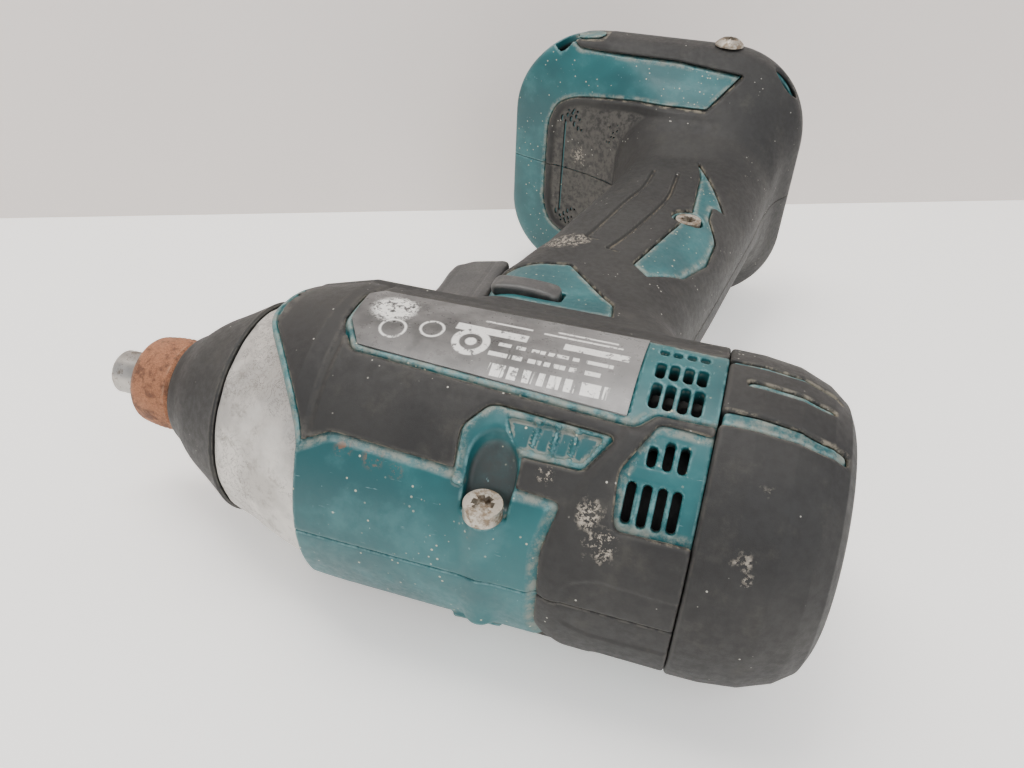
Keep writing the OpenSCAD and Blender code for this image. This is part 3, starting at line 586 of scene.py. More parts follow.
class Nodes:
    """Short words for building a material's node tree."""

    def __init__(self, name):
        self.mat = bpy.data.materials.new(name)
        self.mat.use_nodes = True
        self.t = self.mat.node_tree
        self.t.nodes.clear()
        self.out = self.t.nodes.new("ShaderNodeOutputMaterial")
        self.bsdf = self.t.nodes.new("ShaderNodeBsdfPrincipled")
        self.t.links.new(self.bsdf.outputs[0], self.out.inputs[0])
        self.pos = self.t.nodes.new("ShaderNodeTexCoord").outputs["Object"]

    def put(self, socket, value):
        if isinstance(value, bpy.types.NodeSocket):
            self.t.links.new(value, socket)
        elif value is not None:
            socket.default_value = value

    def math(self, op, a, b=None, clamp=False):
        n = self.t.nodes.new("ShaderNodeMath")
        n.operation = op
        n.use_clamp = clamp
        self.put(n.inputs[0], a)
        self.put(n.inputs[1], b)
        return n.outputs[0]

    def mul(self, a, b):
        return self.math("MULTIPLY", a, b)

    def add(self, a, b):
        return self.math("ADD", a, b)

    def sub(self, a, b):
        return self.math("SUBTRACT", a, b)

    def most(self, a, b):
        return self.math("MAXIMUM", a, b)

    def noise(self, scale, detail=4.0, rough=0.55, at=None, distort=0.0):
        n = self.t.nodes.new("ShaderNodeTexNoise")
        self.put(n.inputs["Vector"], at or self.pos)
        n.inputs["Scale"].default_value = scale
        n.inputs["Detail"].default_value = detail
        n.inputs["Roughness"].default_value = rough
        n.inputs["Distortion"].default_value = distort
        return n.outputs[0]

    def cells(self, scale):
        n = self.t.nodes.new("ShaderNodeTexVoronoi")
        self.put(n.inputs["Vector"], self.pos)
        n.inputs["Scale"].default_value = scale
        return n.outputs["Distance"]

    def span(self, value, lo, hi, a=0.0, b=1.0):
        """Carries lo..hi to a..b along an S-curve."""
        n = self.t.nodes.new("ShaderNodeMapRange")
        n.interpolation_type = "SMOOTHSTEP"
        self.put(n.inputs[0], value)
        for i, v in zip((1, 2, 3, 4), (lo, hi, a, b)):
            n.inputs[i].default_value = v
        return n.outputs[0]

    def mix(self, f, a, b):
        n = self.t.nodes.new("ShaderNodeMix")
        n.data_type = "RGBA"
        self.put(n.inputs[0], f)
        self.put(n.inputs[6], a)
        self.put(n.inputs[7], b)
        return n.outputs[2]

    def attr(self, name):
        n = self.t.nodes.new("ShaderNodeAttribute")
        n.attribute_name = name
        return n.outputs["Fac"]

    def moved(self, scale=(1, 1, 1), turn=(0, 0, 0)):
        n = self.t.nodes.new("ShaderNodeMapping")
        self.put(n.inputs[0], self.pos)
        n.inputs[2].default_value = turn
        n.inputs[3].default_value = scale
        return n.outputs[0]

    def near(self, place, radius, soft_edge=0.5, ripple=None):
        """1 within radius (mm) of a place given in the tool's axes, fading to 0."""
        p = to_row([place])[0]
        n = self.t.nodes.new("ShaderNodeVectorMath")
        n.operation = "DISTANCE"
        self.put(n.inputs[0], self.pos)
        n.inputs[1].default_value = p
        d = n.outputs["Value"]
        if ripple is not None:
            d = self.add(d, self.mul(self.sub(ripple, 0.5), radius * 0.0016))
        return self.span(d, radius * 0.001, radius * 0.001 * (1 - soft_edge), 0, 1)

    def bump(self, height, strength=0.3, distance=0.0003, under=None):
        n = self.t.nodes.new("ShaderNodeBump")
        n.inputs["Strength"].default_value = strength
        n.inputs["Distance"].default_value = distance
        self.put(n.inputs["Height"], height)
        if under is not None:
            self.put(n.inputs["Normal"], under)
        return n.outputs[0]

    def done(self, color, rough, metal=0.0, normal=None, specular=0.5):
        self.put(self.bsdf.inputs["Base Color"], color)
        self.put(self.bsdf.inputs["Roughness"], rough)
        self.bsdf.inputs["Metallic"].default_value = metal
        self.bsdf.inputs["Specular IOR Level"].default_value = specular
        if normal is not None:
            self.put(self.bsdf.inputs["Normal"], normal)
        return self.mat


def teal_plastic():
    n = Nodes("teal_plastic")
    big = n.noise(60, 3)
    fine = n.noise(900, 4, 0.6)
    dust = n.noise(2600, 3, 0.7)
    color = n.mix(n.span(big, 0.35, 0.65), srgb(12, 74, 78), srgb(22, 90, 93))
    curv = n.attr("curv")
    deep, rim = n.attr("deep"), n.attr("rim")
    # Pale grime where edges are worn and in the channels beside the rubber
    edge = n.mul(n.span(curv, 0.25, 0.9), n.span(n.noise(500, 5, 0.7), 0.38, 0.62))
    dirt = n.mul(n.span(curv, -0.2, -0.7), n.span(n.noise(350, 5, 0.7), 0.35, 0.6))
    seam = n.mul(n.span(n.math("ABSOLUTE", n.add(rim, 0.35)), 1.3, 0.2),
                  n.span(n.noise(420, 6, 0.75), 0.4, 0.62))
    dirt = n.mul(n.most(dirt, seam), n.span(deep, 1.9, 1.3))
    color = n.mix(n.mul(edge, 0.5), color, srgb(120, 160, 160))
    color = n.mix(n.mul(dirt, 0.6), color, srgb(150, 146, 132))
    # Painted shade: the deep pockets are darkened almost to black
    pocket_shade = n.mul(n.span(deep, 1.7, 2.7), n.span(n.noise(600, 5, 0.7), 0.3, 0.7, 0.85, 1.0))
    color = n.mix(n.mul(pocket_shade, 0.9), color, srgb(50, 48, 45))
    specks = n.mul(n.span(n.cells(700), 0.17, 0.1), n.span(n.noise(170, 2), 0.5, 0.6))
    color = n.mix(n.mul(specks, 0.7), color, srgb(206, 200, 172))
    haze = n.mul(n.span(n.noise(120, 5, 0.65), 0.5, 0.7), 0.14)
    color = n.mix(haze, color, srgb(100, 145, 148))
    scratch = scratches(n)
    color = n.mix(n.mul(scratch, 0.4), color, srgb(140, 175, 178))
    rust = rust_marks(n)
    color = n.mix(rust, color, srgb(120, 82, 60))
    rough = n.span(fine, 0.3, 0.7, 0.36, 0.5)
    rough = n.add(rough, n.mul(n.add(dirt, haze), 0.25))
    b = n.bump(dust, 0.12, 0.0001, n.bump(scratch, 0.2, 0.0002))
    return n.done(color, rough, normal=b)


def scratches(n):
    a = n.noise(1.0, 3, 0.6, n.moved(scale=(220, 1900, 1900), turn=(0.2, 0.1, 0.35)))
    b = n.noise(1.0, 3, 0.6, n.moved(scale=(1700, 260, 900), turn=(0.1, 0.5, 0.2)))
    return n.most(n.span(a, 0.70, 0.76), n.span(b, 0.71, 0.77))


def rust_marks(n):
    wob = n.noise(700, 4, 0.7)
    m = 0.0
    for place, r in (((61.5, -22.2, 15.5), 2.2), ((66.5, -22.4, 15.2), 2.6), ((70.5, -23, 14.3), 1.8),
                     ((83.5, -26.2, 8), 1.3), ((85.6, -26.0, 8.3), 1.2)):
        m = n.most(m, n.near(place, r, 0.7, wob))
    return n.mul(n.mul(m, n.span(wob, 0.5, 0.56)), 0.8)


def black_rubber():
    n = Nodes("black_rubber")
    big = n.noise(45, 4)
    grain = n.noise(5200, 3, 0.7)
    mid = n.noise(700, 4, 0.65)
    color = n.mix(n.span(big, 0.35, 0.68), srgb(34, 33, 32), srgb(46, 45, 43))
    curv = n.attr("curv")
    edge = n.mul(n.span(curv, 0.3, 1.1), n.span(mid, 0.35, 0.6))
    dirt = n.mul(n.span(curv, -0.25, -0.9), n.span(n.noise(300, 5, 0.7), 0.36, 0.6))
    color = n.mix(n.mul(edge, 0.38), color, srgb(112, 108, 100))
    color = n.mix(n.mul(dirt, 0.45), color, srgb(150, 136, 112))
    rim = n.math("ABSOLUTE", n.attr("rim"))
    near = n.mul(n.span(rim, 0.55, 0.15), n.span(rim, 0.0, 0.02))
    worn = n.mul(near, n.span(n.noise(380, 5, 0.7), 0.44, 0.6))
    color = n.mix(n.mul(worn, 0.6), color, srgb(160, 150, 130))
    haze = n.mul(n.span(n.noise(150, 6, 0.7), 0.52, 0.72), 0.22)
    color = n.mix(haze, color, srgb(90, 87, 80))
    specks = n.mul(n.span(n.cells(620), 0.13, 0.07), n.span(n.noise(140, 2), 0.57, 0.62))
    color = n.mix(n.mul(specks, 0.8), color, srgb(196, 192, 180))
    scuff = scuffs(n)
    color = n.mix(n.mul(scuff, 0.85), color, srgb(176, 166, 150))
    paint = paint_marks(n)
    color = n.mix(paint, color, srgb(226, 216, 196))
    rough = n.add(n.span(mid, 0.3, 0.7, 0.56, 0.7), n.mul(haze, 0.4))
    b = n.bump(grain, 0.22, 0.00012, n.bump(scuff, 0.5, 0.0002))
    return n.done(color, rough, normal=b, specular=0.42)


def scuffs(n):
    """Rubbed pale patches on the shoulder, the cap, the neck and the thumb rest."""
    chips = n.noise(1500, 5, 0.75)
    wob = n.noise(500, 3, 0.6)
    m = 0.0
    for place, r, cover in (((100.6, -23.0, 15.1), 2.6, 0.5), ((102.8, -24.9, 11.7), 3.0, 0.545),
                            ((123.8, -15.9, 20.3), 1.8, 0.5), ((122.1, -22.6, 13.3), 2.0, 0.5),
                            ((123.2, -23.3, 11.4), 1.8, 0.52), ((74.5, 57, 17.2), 5.2, 0.52),
                            ((79, 58, 17.5), 3.4, 0.52), ((93, -20.5, 18.5), 1.6, 0.56),
                            ((82, 131, 18), 3.0, 0.57), ((60, 136, 5), 3.2, 0.54)):
        hit = n.mul(n.near(place, r, 0.6, wob), n.span(chips, cover - 0.02, cover + 0.03))
        m = n.most(m, hit)
    return m


def paint_marks(n):
    wob = n.noise(600, 4, 0.7)
    m = 0.0
    for place, r in (((76.5, 130.5, 9), 2.3), ((75.6, 132.2, 9.5), 2.2), ((75, 134, 9.5), 2.0),
                     ((74, 135.4, 7), 2.0), ((72.6, 136.4, 5), 1.8)):
        m = n.most(m, n.near(place, r, 0.25, wob))
    return n.mul(m, 0.9)


def metal(name, base, other, rough, grain_scale=900, stain=None, cover=(0.5, 0.62), metallic=0.9, bump=0.2):
    n = Nodes(name)
    mid = n.noise(grain_scale, 5, 0.65)
    color = n.mix(n.span(n.noise(grain_scale / 6, 4), 0.35, 0.65), base, other)
    extra = 0.0
    if stain:
        extra = n.span(n.noise(grain_scale / 3, 6, 0.75), *cover)
        color = n.mix(n.mul(extra, 0.85), color, stain)
    r = n.add(n.span(mid, 0.3, 0.7, rough - 0.07, rough + 0.1), n.mul(extra, 0.25))
    return n.done(color, r, metallic, n.bump(mid, bump, 0.0001))


def cast_case():
    """Die-cast nose: dull grey, scribbled with dark stains, bright on worn edges."""
    n = Nodes("cast_aluminium")
    cloud = n.noise(90, 5, 0.6)
    color = n.mix(n.span(cloud, 0.38, 0.62), srgb(176, 172, 166), srgb(205, 201, 194))
    veins = n.noise(330, 6, 0.72, distort=1.8)
    lines = n.span(n.math("ABSOLUTE", n.sub(veins, 0.5)), 0.018, 0.002)
    patch = n.span(n.noise(75, 3), 0.42, 0.56)
    stain = n.mul(lines, patch)
    smear = n.mul(n.span(n.noise(210, 6, 0.75), 0.53, 0.66), 0.55)
    color = n.mix(n.mul(stain, 0.75), color, srgb(70, 66, 62))
    color = n.mix(smear, color, srgb(128, 122, 114))
    edge = n.span(n.attr("curv"), 0.3, 1.0)
    color = n.mix(n.mul(edge, 0.4), color, srgb(222, 220, 215))
    grit = n.noise(2600, 4, 0.7)
    rough = n.add(n.span(grit, 0.3, 0.7, 0.4, 0.52), n.mul(stain, 0.2))
    b = n.bump(grit, 0.3, 0.00015, n.bump(n.noise(420, 4), 0.25, 0.0004))
    return n.done(color, rough, 0.55, b)


def rusty_steel():
    n = Nodes("rusty_steel")
    rust = n.noise(420, 6, 0.72)
    grain = n.noise(3400, 4, 0.75)
    color = n.mix(n.span(grain, 0.35, 0.65), srgb(132, 84, 58), srgb(176, 122, 88))
    color = n.mix(n.span(rust, 0.46, 0.62), color, srgb(104, 70, 52))
    pale = n.mul(n.span(n.attr("curv"), 0.2, 0.9), n.span(n.noise(900, 4), 0.42, 0.6))
    color = n.mix(n.mul(pale, 0.6), color, srgb(196, 158, 128))
    return n.done(color, n.span(grain, 0.3, 0.7, 0.62, 0.8), 0.25, n.bump(grain, 0.5, 0.0002))


def moulded(name, a, b, rough=0.45, grain=2200, strength=0.15):
    """Moulded plastic: two close tones, a fine texture, dust and pale worn edges."""
    n = Nodes(name)
    g = n.noise(grain, 4, 0.65)
    color = n.mix(n.span(n.noise(130, 4), 0.35, 0.65), a, b)
    haze = n.mul(n.span(n.noise(240, 6, 0.72), 0.5, 0.72), 0.2)
    color = n.mix(haze, color, srgb(140, 134, 124))
    edge = n.mul(n.span(n.attr("curv"), 0.3, 1.1), 0.3)
    color = n.mix(edge, color, srgb(150, 146, 138))
    return n.done(color, n.span(g, 0.3, 0.7, rough - 0.06, rough + 0.1), 0.0, n.bump(g, strength, 0.0001))


def label_film():
    """Dark glossy film with plain white bars, a ring and worn-off patches; no words."""
    n = Nodes("label_film")
    sep = n.t.nodes.new("ShaderNodeSeparateXYZ")
    n.put(sep.inputs[0], n.pos)
    x = n.add(n.mul(sep.outputs[0], 1000), TOOL_LEN / 2)
    # Round the spindle from the top, in mm along the skin
    dy = n.sub(n.mul(sep.outputs[1], 1000), float(SHIFT[1]))
    dz = n.sub(n.mul(sep.outputs[2], 1000), float(SHIFT[2]))
    turn = n.add(n.math("ARCTAN2", dz, n.mul(dy, -1.0)), TILT)
    w = n.mul(turn, 27.4)
    mark = 0.0

    def bar(x0, x1, w0, w1):
        a = n.mul(n.span(x, x0 - 0.1, x0 + 0.1), n.span(x, x1 + 0.1, x1 - 0.1))
        b = n.mul(n.span(w, w0 - 0.1, w0 + 0.1), n.span(w, w1 + 0.1, w1 - 0.1))
        return n.mul(a, b)

    def ring(cx, cw, r0, r1):
        d = n.math("SQRT", n.add(n.math("POWER", n.sub(x, cx), 2.0), n.math("POWER", n.sub(w, cw), 2.0)))
        return n.mul(n.span(d, r0 - 0.15, r0 + 0.15), n.span(d, r1 + 0.15, r1 - 0.15))

    dash = n.span(n.noise(1.0, 1, 0.5, n.moved(scale=(1500, 60, 60))), 0.44, 0.5)
    for row in ((80, 99, 33.2, 35.6), (79, 97, 37.1, 38.0), (80, 98.5, 39.5, 40.3)):
        mark = n.most(mark, n.mul(bar(*row), dash))
    for row in ((72, 84, 41.6, 43.4), (90, 100.5, 41.8, 43.4), (86, 99, 44.9, 45.4), (88, 98, 46.2, 46.7),
                (76, 84, 45.2, 45.7)):
        mark = n.most(mark, bar(*row))
    mark = n.most(mark, ring(75.5, 39.2, 0.0, 3.1))
    mark = n.math("SUBTRACT", mark, ring(75.5, 39.2, 0.9, 1.9), clamp=True)
    mark = n.most(mark, ring(68.5, 40.3, 1.7, 2.1))
    mark = n.most(mark, ring(62.3, 38.6, 1.9, 2.3))
    worn = n.noise(700, 6, 0.75)
    mark = n.mul(mark, n.span(worn, 0.62, 0.54))
    chip = n.mul(n.near((60.5, 0.8, 27.2), 4.6, 0.3, worn), n.span(worn, 0.46, 0.5))
    flake = n.span(n.noise(900, 6, 0.8), 0.66, 0.7)
    mark = n.most(mark, n.most(chip, n.mul(flake, 0.7)))
    base = n.mix(n.span(n.noise(200, 4), 0.35, 0.65), srgb(62, 61, 60), srgb(96, 94, 92))
    # painted sheen: the film is made paler towards the motor end
    base = n.mix(n.mul(n.span(x, 76, 104), 0.5), base, srgb(150, 148, 146))
    color = n.mix(mark, base, srgb(226, 224, 218))
    rough = n.span(worn, 0.3, 0.7, 0.24, 0.42)
    return n.done(color, rough, 0.0, n.bump(worn, 0.12, 0.0001), 0.6)


def lens_clear():
    n = Nodes("lens")
    g = n.noise(600, 3)
    return n.done(n.mix(n.span(g, 0.3, 0.7), srgb(205, 210, 214), srgb(228, 232, 235)),
                  n.span(g, 0.3, 0.7, 0.12, 0.25), 0.0, n.bump(g, 0.1, 0.0001), 0.6)


# ---------------------------------------------------------------- turned and smaller shapes
def lathe(name, profile, segs=160, ripple=None, rounds=4):
    """Turns a closed outline of (distance from the tip, radius) round the spindle. ripple(x, r, a) gives
    extra radius. Corners carry a third value where they are rounded."""
    pts = fillet(profile, 0.0, rounds)
    fine = []
    for p, q in zip(pts, np.roll(pts, -1, axis=0)):
        k = max(1, int(np.ceil(np.hypot(*(q - p)) / (0.35 if ripple else 2.5))))
        fine += [p + (q - p) * i / k for i in range(k)]
    fine = np.array(fine)
    m = len(fine)
    ang = np.arange(segs) * 2 * math.pi / segs
    x = np.repeat(fine[:, 0][:, None], segs, 1)
    r = np.repeat(fine[:, 1][:, None], segs, 1)
    if ripple:
        r = r + ripple(x, r, ang[None, :])
    co = np.stack([x, r * np.cos(ang), r * np.sin(ang)], -1).reshape(-1, 3)
    i, j = np.meshgrid(np.arange(m), np.arange(segs), indexing="ij")
    i2, j2 = (i + 1) % m, (j + 1) % segs
    quads = np.stack([i * segs + j, i * segs + j2, i2 * segs + j2, i2 * segs + j], -1).reshape(-1, 4)
    quads = outward(co, quads)
    # Turning of the outline, as a stand-in for the edge's sharpness
    a = fine - np.roll(fine, 1, axis=0)
    b = np.roll(fine, -1, axis=0) - fine
    turn = np.arctan2(a[:, 0] * b[:, 1] - a[:, 1] * b[:, 0], (a * b).sum(1))
    area = 0.5 * (fine[:, 0] * np.roll(fine[:, 1], -1) - np.roll(fine[:, 0], -1) * fine[:, 1]).sum()
    size = 0.5 * (np.hypot(*a.T) + np.hypot(*b.T))
    curv = np.clip(turn * np.sign(area) / np.maximum(size, 0.3), -2, 2)
    ob = make_mesh(name, co, quads, None, {"curv": np.repeat(curv, segs)})
    sharpen(ob, 38)
    return ob


def sharpen(ob, degrees):
    """Marks edges sharper than an angle, so that flats stay flat and rounds stay round."""
    me = ob.data
    bm = bmesh.new()
    bm.from_mesh(me)
    limit = math.radians(degrees)
    for e in bm.edges:
        e.smooth = not (len(e.link_faces) == 2 and e.calc_face_angle(0) > limit)
    bm.to_mesh(me)
    bm.free()


def trigger_shape(x, y, z):
    prof = TRIGGER(x, y)
    side = np.abs(z) - (9.3 - 1.9 * np.clip((62 - x) / 9, 0, 1))
    body = smax(prof, side, 1.6)
    hollow = 22.6 - np.hypot(x - 28.3, y - 43.5)
    body = smax(body, hollow, 1.2)
    ridge = np.abs(x - 60.2) - 0.35
    body = smax(body, -smax(ridge, 8.9 - np.abs(z), 0.3), 0.3)
    stem = smax(np.hypot(y - 44, z) - 3, np.maximum(62 - x, x - 76), 0.3)
    seat = np.maximum(np.maximum(np.hypot(y - 44, z) - 5.4, 3.01 - np.hypot(y - 44, z)), 58 - x)
    return np.minimum(np.maximum(body, -seat), stem)


TRIGGER = Outline([(50.1, 31.4), (63.6, 31.4), (63.6, 56.6), (54.4, 56.6), (51.0, 54), (50.0, 44)], 1.2)


PAD_Z = 16.5    # the inner face of the lever's paddles


def lever_shape(x, y, z):
    az = np.abs(z)
    bar = box(x, y, z, (72.2, 27.5, -17.5), (81.8, 32.3, 17.5), 0.4)
    crown = PAD_Z + 3.6 * np.sqrt(np.maximum(1 - ((x - 75) / 7.6) ** 2 * 0.6, 0.01))
    pad = smax(box(x, y, az, (68.1, 27.45, PAD_Z), (81.9, 32.35, PAD_Z + 3.7), 1.4), az - crown, 0.8)
    return np.minimum(bar, pad)

# The cap's stripes, where the hard core shows between the rubber: height down, half height, start, end
STRIPES = [(5.4, 0.55, 115, 133.2), (-0.4, 0.6, 118.7, 132.0), (-8.2, 1.15, 115, 134.2)]
CAP = [(114, 27.8), (115.5, 27.8), (121, 27.7), (127, 26.9), (132, 24.9), (135, 22.6), (136.6, 19.5),
       (136.9, 16), (137.0, 0)]


def cap_outer(x, rho):
    px = [p[0] for p in CAP]
    r = np.interp(x, px, [p[1] for p in CAP])
    wall = (rho - r) * np.interp(x, [115, 127, 132, 135, 137], [1, 0.97, 0.84, 0.6, 0.3])
    return smax(smax(wall, 115.5 - x, 0.8), x - TOOL_LEN, 1.2)


def cap_stripes(x, y, z):
    s = np.full(np.shape(x), 20.0)
    for y0, half, x0, x1 in STRIPES:
        bend = np.maximum(x - 127.5, 0) ** 2 * 0.05
        mid = y0 + (bend * 0.5 if y0 < 3 else -bend * 0.25) + 0.02 * (x - 115)
        taper = half * (1 - 0.25 * step01((x - 121) / 12))
        s = np.minimum(s, smax(np.abs(y - mid) - taper, np.maximum(x0 - x, x - x1), 0.8))
    return np.where(np.abs(z) > 8, s, 20.0)


def cap_inner(x, rho):
    r = np.interp(x, [115, 121, 126, 130.5, 133, 134.2], [25.2, 25, 24.3, 22.4, 19.8, 15])
    return smax(rho - r, x - 134.2, 0.8)


def cap_screws(x, y, z):
    c = np.full(np.shape(x), 20.0)
    for s in (-1, 1):
        cy, cz = 25.2 * math.cos(math.pi / 6), s * 25.2 * math.sin(math.pi / 6)
        d = np.hypot(y - cy, z - cz)
        c = np.minimum(c, np.minimum(d - 1.5, np.maximum(d - 3.1, 121.5 - x)))
    return c


def cap_core(x, y, z):
    rho = np.hypot(y, z)
    f = cap_outer(x, rho) + 0.9 - 0.5 * step01((0.2 - cap_stripes(x, y, z)) / 0.5)
    f = smax(f, 115.55 - x, 0.3)
    f = np.maximum(f, -cap_inner(x, rho))
    boss = np.maximum(rho - 9, 125.6 - x)
    f = np.maximum(np.minimum(f, smax(boss, x - 135.5, 0.5)), -np.maximum(rho - 6.55, x - 130.5))
    return smax(f, -cap_screws(x, y, z), 0.3)


def cap_rubber(x, y, z):
    rho = np.hypot(y, z)
    s = cap_stripes(x, y, z)
    f = cap_outer(x, rho)
    f = smax(f, 0.1 - s, 0.6)
    f = np.maximum(f, -(cap_outer(x, rho) + 0.85))
    return smax(f, -cap_screws(x, y, z) + 0.1, 0.4)


def cap_marks(x, y, z):
    return {"rim": np.clip(cap_stripes(x, y, z), -FAR_OFF, FAR_OFF)}


# ---------------------------------------------------------------- the pieces
def build_skin(mats):
    h = 0.42
    lo, hi = (37, -29, -0.6), (127, 164, 41)
    for side, word in ((1, "right"), (-1, "left")):
        a, b = (lo, hi) if side > 0 else ((lo[0], lo[1], -hi[2]), (hi[0], hi[1], -lo[2]))
        ob = mesh_from(f"shell_{word}", skin_shell(side), a, b, h, skin_marks(side))
        finish_piece(ob, "housing", mats["teal"], [f"housing_{word}"])
        ob = mesh_from(f"grip_rubber_{word}", skin_rubber(side), a, b, h, skin_marks(side))
        finish_piece(ob, "housing", mats["rubber"], [f"overmold_{word}"])
    h = 0.4
    lo, hi = (114.6, -28.6, -28.6), (137.8, 28.6, 28.6)
    ob = mesh_from("cap_core", cap_core, lo, hi, h, cap_marks)
    finish_piece(ob, "housing", mats["teal"], ["rear_cover"])
    ob = mesh_from("cap_rubber", cap_rubber, lo, hi, h, cap_marks)
    finish_piece(ob, "housing", mats["rubber"], ["rear_cover"])


def build_controls(mats):
    h = 0.3
    ob = mesh_from("trigger_pad", trigger_shape, (49, 30, -10.4), (77, 58, 10.4), h)
    finish_piece(ob, "trigger", mats["button"], ["trigger"])
    ob = mesh_from("lever_bar", lever_shape, (67, 28, -24), (83, 35.2, 24), h)
    finish_piece(ob, "lever", mats["button"], ["reversing_lever"])


def build_nose(mats):
    case = [(18, 9.6), (18, 9.9), (20, 10.8), (24, 13.9), (29, 16.5), (34.3, 18.9), (34.6, 20, 0.2),
            (39.5, 21.5, 0.8), (45.5, 23.6, 1.0), (50, 24.9, 1.0), (54.5, 25.4, 0.3), (54.6, 24.0, 0.1),
            (79.2, 24.0, 0.3), (79.2, 20.8), (54, 20.8), (47, 20.6), (37, 13), (36, 9.6)]
    rng = np.random.default_rng(7)
    amp = rng.uniform(0.02, 0.05, 14)
    k = rng.integers(2, 19, 14)
    f = rng.uniform(0.1, 0.9, 14)
    ph = rng.uniform(0, 6.28, 14)

    def dents(x, r, a):
        d = sum(amp[i] * np.sin(k[i] * a + f[i] * x + ph[i]) for i in range(14))
        seen = (r > 19) & (x > 34.5) & (x < 54.4)
        return np.where(seen, np.clip(d, -0.1, 0.05), 0)

    ob = lathe("nose_case", case, 200, dents)
    finish_piece(ob, "housing", mats["alloy"], ["hammer_case"])

    boot = [(17.4, 9.3, 0.1), (17.4, 9.9, 0.3), (18.2, 10.7, 0.5), (20, 11.7, 1), (24, 14.9, 2),
            (29, 17.6, 2), (33.2, 20.1, 0.5), (33.7, 20.45, 0.2), (34.3, 20.2, 0.2), (34.2, 19.0, 0.2),
            (29, 16.6, 0.5), (24, 14, 0.5), (20, 10.9, 0.3), (18, 10, 0.2), (17.9, 9.3, 0.1)]
    ob = lathe("nose_boot", boot, 160)
    finish_piece(ob, "housing", mats["rubber"], ["bumper"])

    def knurl(x, r, a):
        band = (r > 8.4) & (x > 8.6) & (x < 15.9)
        u = 46 * a
        v = x * 2 * math.pi / 1.15
        cut = np.abs(np.sin(u / 2 + v / 2)) * np.abs(np.sin(u / 2 - v / 2))
        deep = np.interp(x, [8.5, 12, 13], [0.05, 0.1, 0.2])
        return np.where(band, deep * (cut - 1.0), 0)

    sleeve = [(7.8, 7.6), (7.8, 8.0, 0.15), (8.6, 8.6, 0.6), (11, 9.0, 1), (13, 9.2, 0.5), (15.8, 9.2, 0.3),
              (16.6, 8.6, 0.3), (16.6, 7.6), (14.4, 7.6), (14.4, 6.15), (12.3, 6.15), (12.3, 7.6)]
    ob = lathe("chuck_sleeve", sleeve, 240, knurl)
    finish_piece(ob, "sleeve", mats["rust"], ["bit_sleeve"])


# Parts deep in the motor bay, given a near-black steel as painted shade
SHADED = ("motor_yoke", "magnets", "brush_holder", "brush_springs", "bearing_box", "fan", "armature_core")
LOOKS = {"teal_plastic": "teal", "black_rubber": "rubber", "cast_aluminium": "alloy", "worn_steel": "steel",
         "rusty_steel": "rust", "zinc_screw": "zinc", "brass_part": "brass", "copper_part": "copper",
         "carbon": "carbon", "magnet": "magnet", "dark_plastic": "plastic", "lens": "lens", "board": "board",
         "wire_red": "wire", "label_film": "label"}
slots_of = {p["node"]: p["material_slot"] for p in frame["record"]["subparts"]}


def paint_nodes(mats):
    """A procedural material for every CAD solid that stays, by the record's slot."""
    for name, ob in frame["nodes"].items():
        slot = slots_of.get(name, "worn_steel")
        ob.data.materials.clear()
        # the motor-bay parts get the near-black painted shade instead of their slot's look
        ob.data.materials.append(mats["bay_shade" if name in SHADED else LOOKS[slot]])


# ---------------------------------------------------------------- camera, lights and room
CAM_AT = (112.4, -107.3, 100.2)    # in the tool's axes, mm
CAM_YAW, CAM_DIP, CAM_ROLL = 0.2802, 0.6371, 0.0445
LENS, SENSOR = 29.10, 36.0
WALL_AT, WALL_TURN = 0.134, 29.4    # metres beyond the middle, degrees


def make_camera():
    sy, cy, sd, cd = math.sin(CAM_YAW), math.cos(CAM_YAW), math.sin(CAM_DIP), math.cos(CAM_DIP)
    ahead = np.array([-sy * cd, cy * cd, -sd])
    right = np.array([cy, sy, 0])
    up = np.cross(right, ahead)
    sr, cr = math.sin(CAM_ROLL), math.cos(CAM_ROLL)
    axes = np.stack([cr * right + sr * up, -sr * right + cr * up, -ahead], 1)
    m = np.eye(4)
    m[:3, :3] = ROT @ axes
    m[:3, 3] = to_row([CAM_AT])[0]
    cam = bpy.data.cameras.new("camera")
    cam.lens, cam.sensor_width = LENS, SENSOR
    cam.clip_start, cam.clip_end = 0.005, 20
    ob = put_in_scene("camera", cam)
    ob.matrix_world = Matrix(m.tolist())
    bpy.context.scene.camera = ob


def area_light(name, at, aim, size, power, color=(1, 1, 1)):
    li = bpy.data.lights.new(name, "AREA")
    li.shape, li.size, li.size_y = "RECTANGLE", size[0], size[1]
    li.energy, li.color = power, color
    ob = put_in_scene(name, li)
    ob.location = at
    ob.rotation_mode = "QUATERNION"
    ob.rotation_quaternion = (Vector(aim) - Vector(at)).to_track_quat("-Z", "Y")


def room_surface(name, a, b, glow):
    n = Nodes(name)
    n.bsdf.inputs["Emission Color"].default_value = a
    n.bsdf.inputs["Emission Strength"].default_value = glow
    g = n.noise(900, 4, 0.6)
    return n.done(n.mix(n.span(n.noise(4, 3), 0.3, 0.7), a, b), n.span(g, 0.3, 0.7, 0.55, 0.7), 0.0,
                  n.bump(g, 0.04, 0.0002))


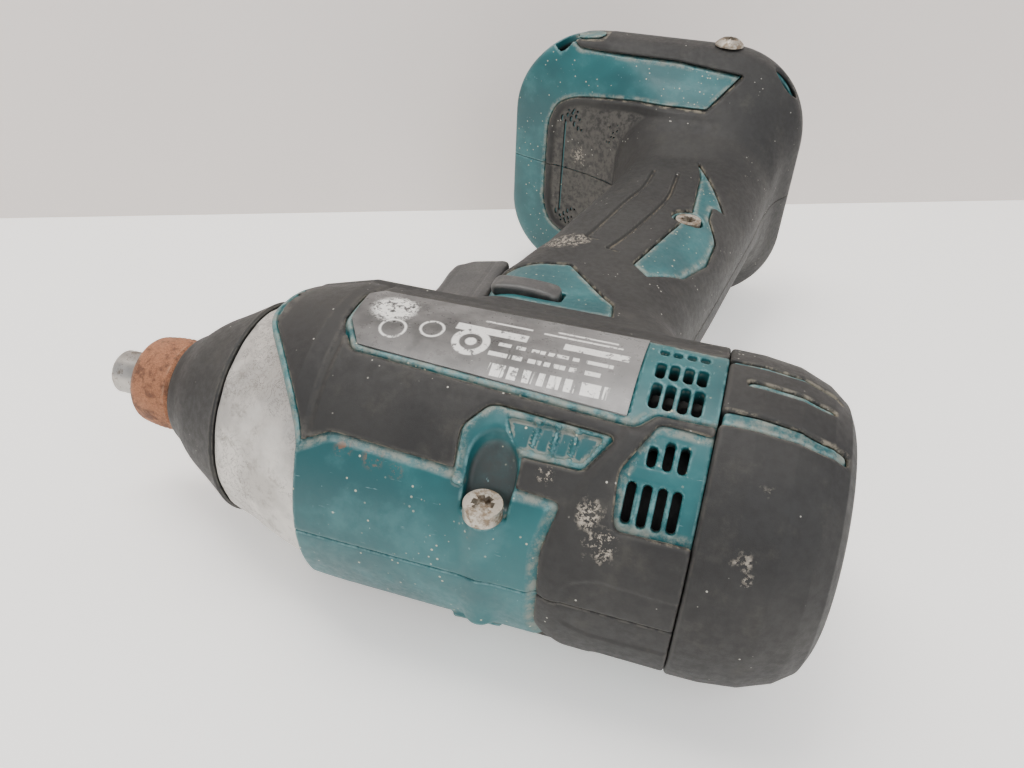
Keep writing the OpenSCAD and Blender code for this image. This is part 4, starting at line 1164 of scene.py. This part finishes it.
def make_room():
    """A pale table top and a plain wall behind it."""
    t = math.radians(WALL_TURN)
    along, away = np.array([math.cos(t), math.sin(t), 0]), np.array([-math.sin(t), math.cos(t), 0])
    foot = away * WALL_AT
    reach, tall = 3.0, 2.2
    pts = [foot - along * reach - away * reach, foot + along * reach - away * reach, foot + along * reach,
           foot - along * reach]
    wall = [foot - along * reach, foot + along * reach, foot + along * reach + [0, 0, tall],
            foot - along * reach + [0, 0, tall]]
    for name, corners, tones in (("table_top", pts, (srgb(246, 244, 240), srgb(242, 240, 236), 0.55)),
                                 ("back_wall", wall, (srgb(226, 218, 212), srgb(218, 210, 204), 0.16))):
        me = bpy.data.meshes.new(name)
        me.from_pydata([list(map(float, p)) for p in corners], [], [(0, 1, 2, 3)])
        ob = put_in_scene(name, me)
        me.materials.append(room_surface(name, *tones))
    world = bpy.data.worlds.new("world")
    world.use_nodes = True
    bg = world.node_tree.nodes["Background"]
    bg.inputs[0].default_value = (0.93, 0.95, 1.0, 1)
    bg.inputs[1].default_value = 0.86
    bpy.context.scene.world = world
    area_light("key", (-0.25, 0.10, 0.75), (0.0, 0.0, 0.03), (0.6, 0.6), 13.0, (1, 0.975, 0.94))
    area_light("fill", (0.5, -0.5, 0.6), (0.0, 0.0, 0.03), (0.6, 0.6), 3.0, (0.95, 0.97, 1))


# ---------------------------------------------------------------- all together
make_camera()
make_room()
mats = {
    "teal": teal_plastic(), "rubber": black_rubber(), "alloy": cast_case(), "rust": rusty_steel(),
    "label": label_film(), "lens": lens_clear(),
    "button": moulded("button_plastic", srgb(52, 52, 52), srgb(64, 63, 62), 0.42),
    "plastic": moulded("dark_plastic", srgb(40, 40, 41), srgb(54, 54, 54), 0.5),
    "steel": metal("worn_steel", srgb(150, 147, 142), srgb(182, 178, 172), 0.32, stain=srgb(96, 84, 72)),
    "zinc": metal("zinc_screw", srgb(168, 160, 148), srgb(190, 184, 172), 0.4, 1400, srgb(120, 100, 78),
                  (0.44, 0.6), 0.75, 0.4),
    "brass": metal("brass_part", srgb(176, 148, 88), srgb(196, 170, 110), 0.35, stain=srgb(110, 86, 56)),
    "copper": metal("copper_part", srgb(176, 104, 66), srgb(196, 124, 84), 0.38, stain=srgb(90, 52, 38)),
    "carbon": moulded("carbon", srgb(34, 34, 35), srgb(50, 50, 50), 0.6, 3000, 0.3),
    # painted shade: near-black steel for the parts deep in the motor bay
    "bay_shade": metal("bay_shade_steel", srgb(26, 26, 26), srgb(40, 39, 38), 0.6, metallic=0.3),
    "magnet": metal("magnet", srgb(92, 92, 94), srgb(112, 112, 112), 0.5, metallic=0.6),
    "board": moulded("board", srgb(34, 84, 52), srgb(48, 102, 64), 0.4, 2600),
    "wire": moulded("wire_red", srgb(140, 32, 30), srgb(160, 44, 38), 0.5, 3000),
}
paint_nodes(mats)
build_skin(mats)
build_controls(mats)
build_nose(mats)
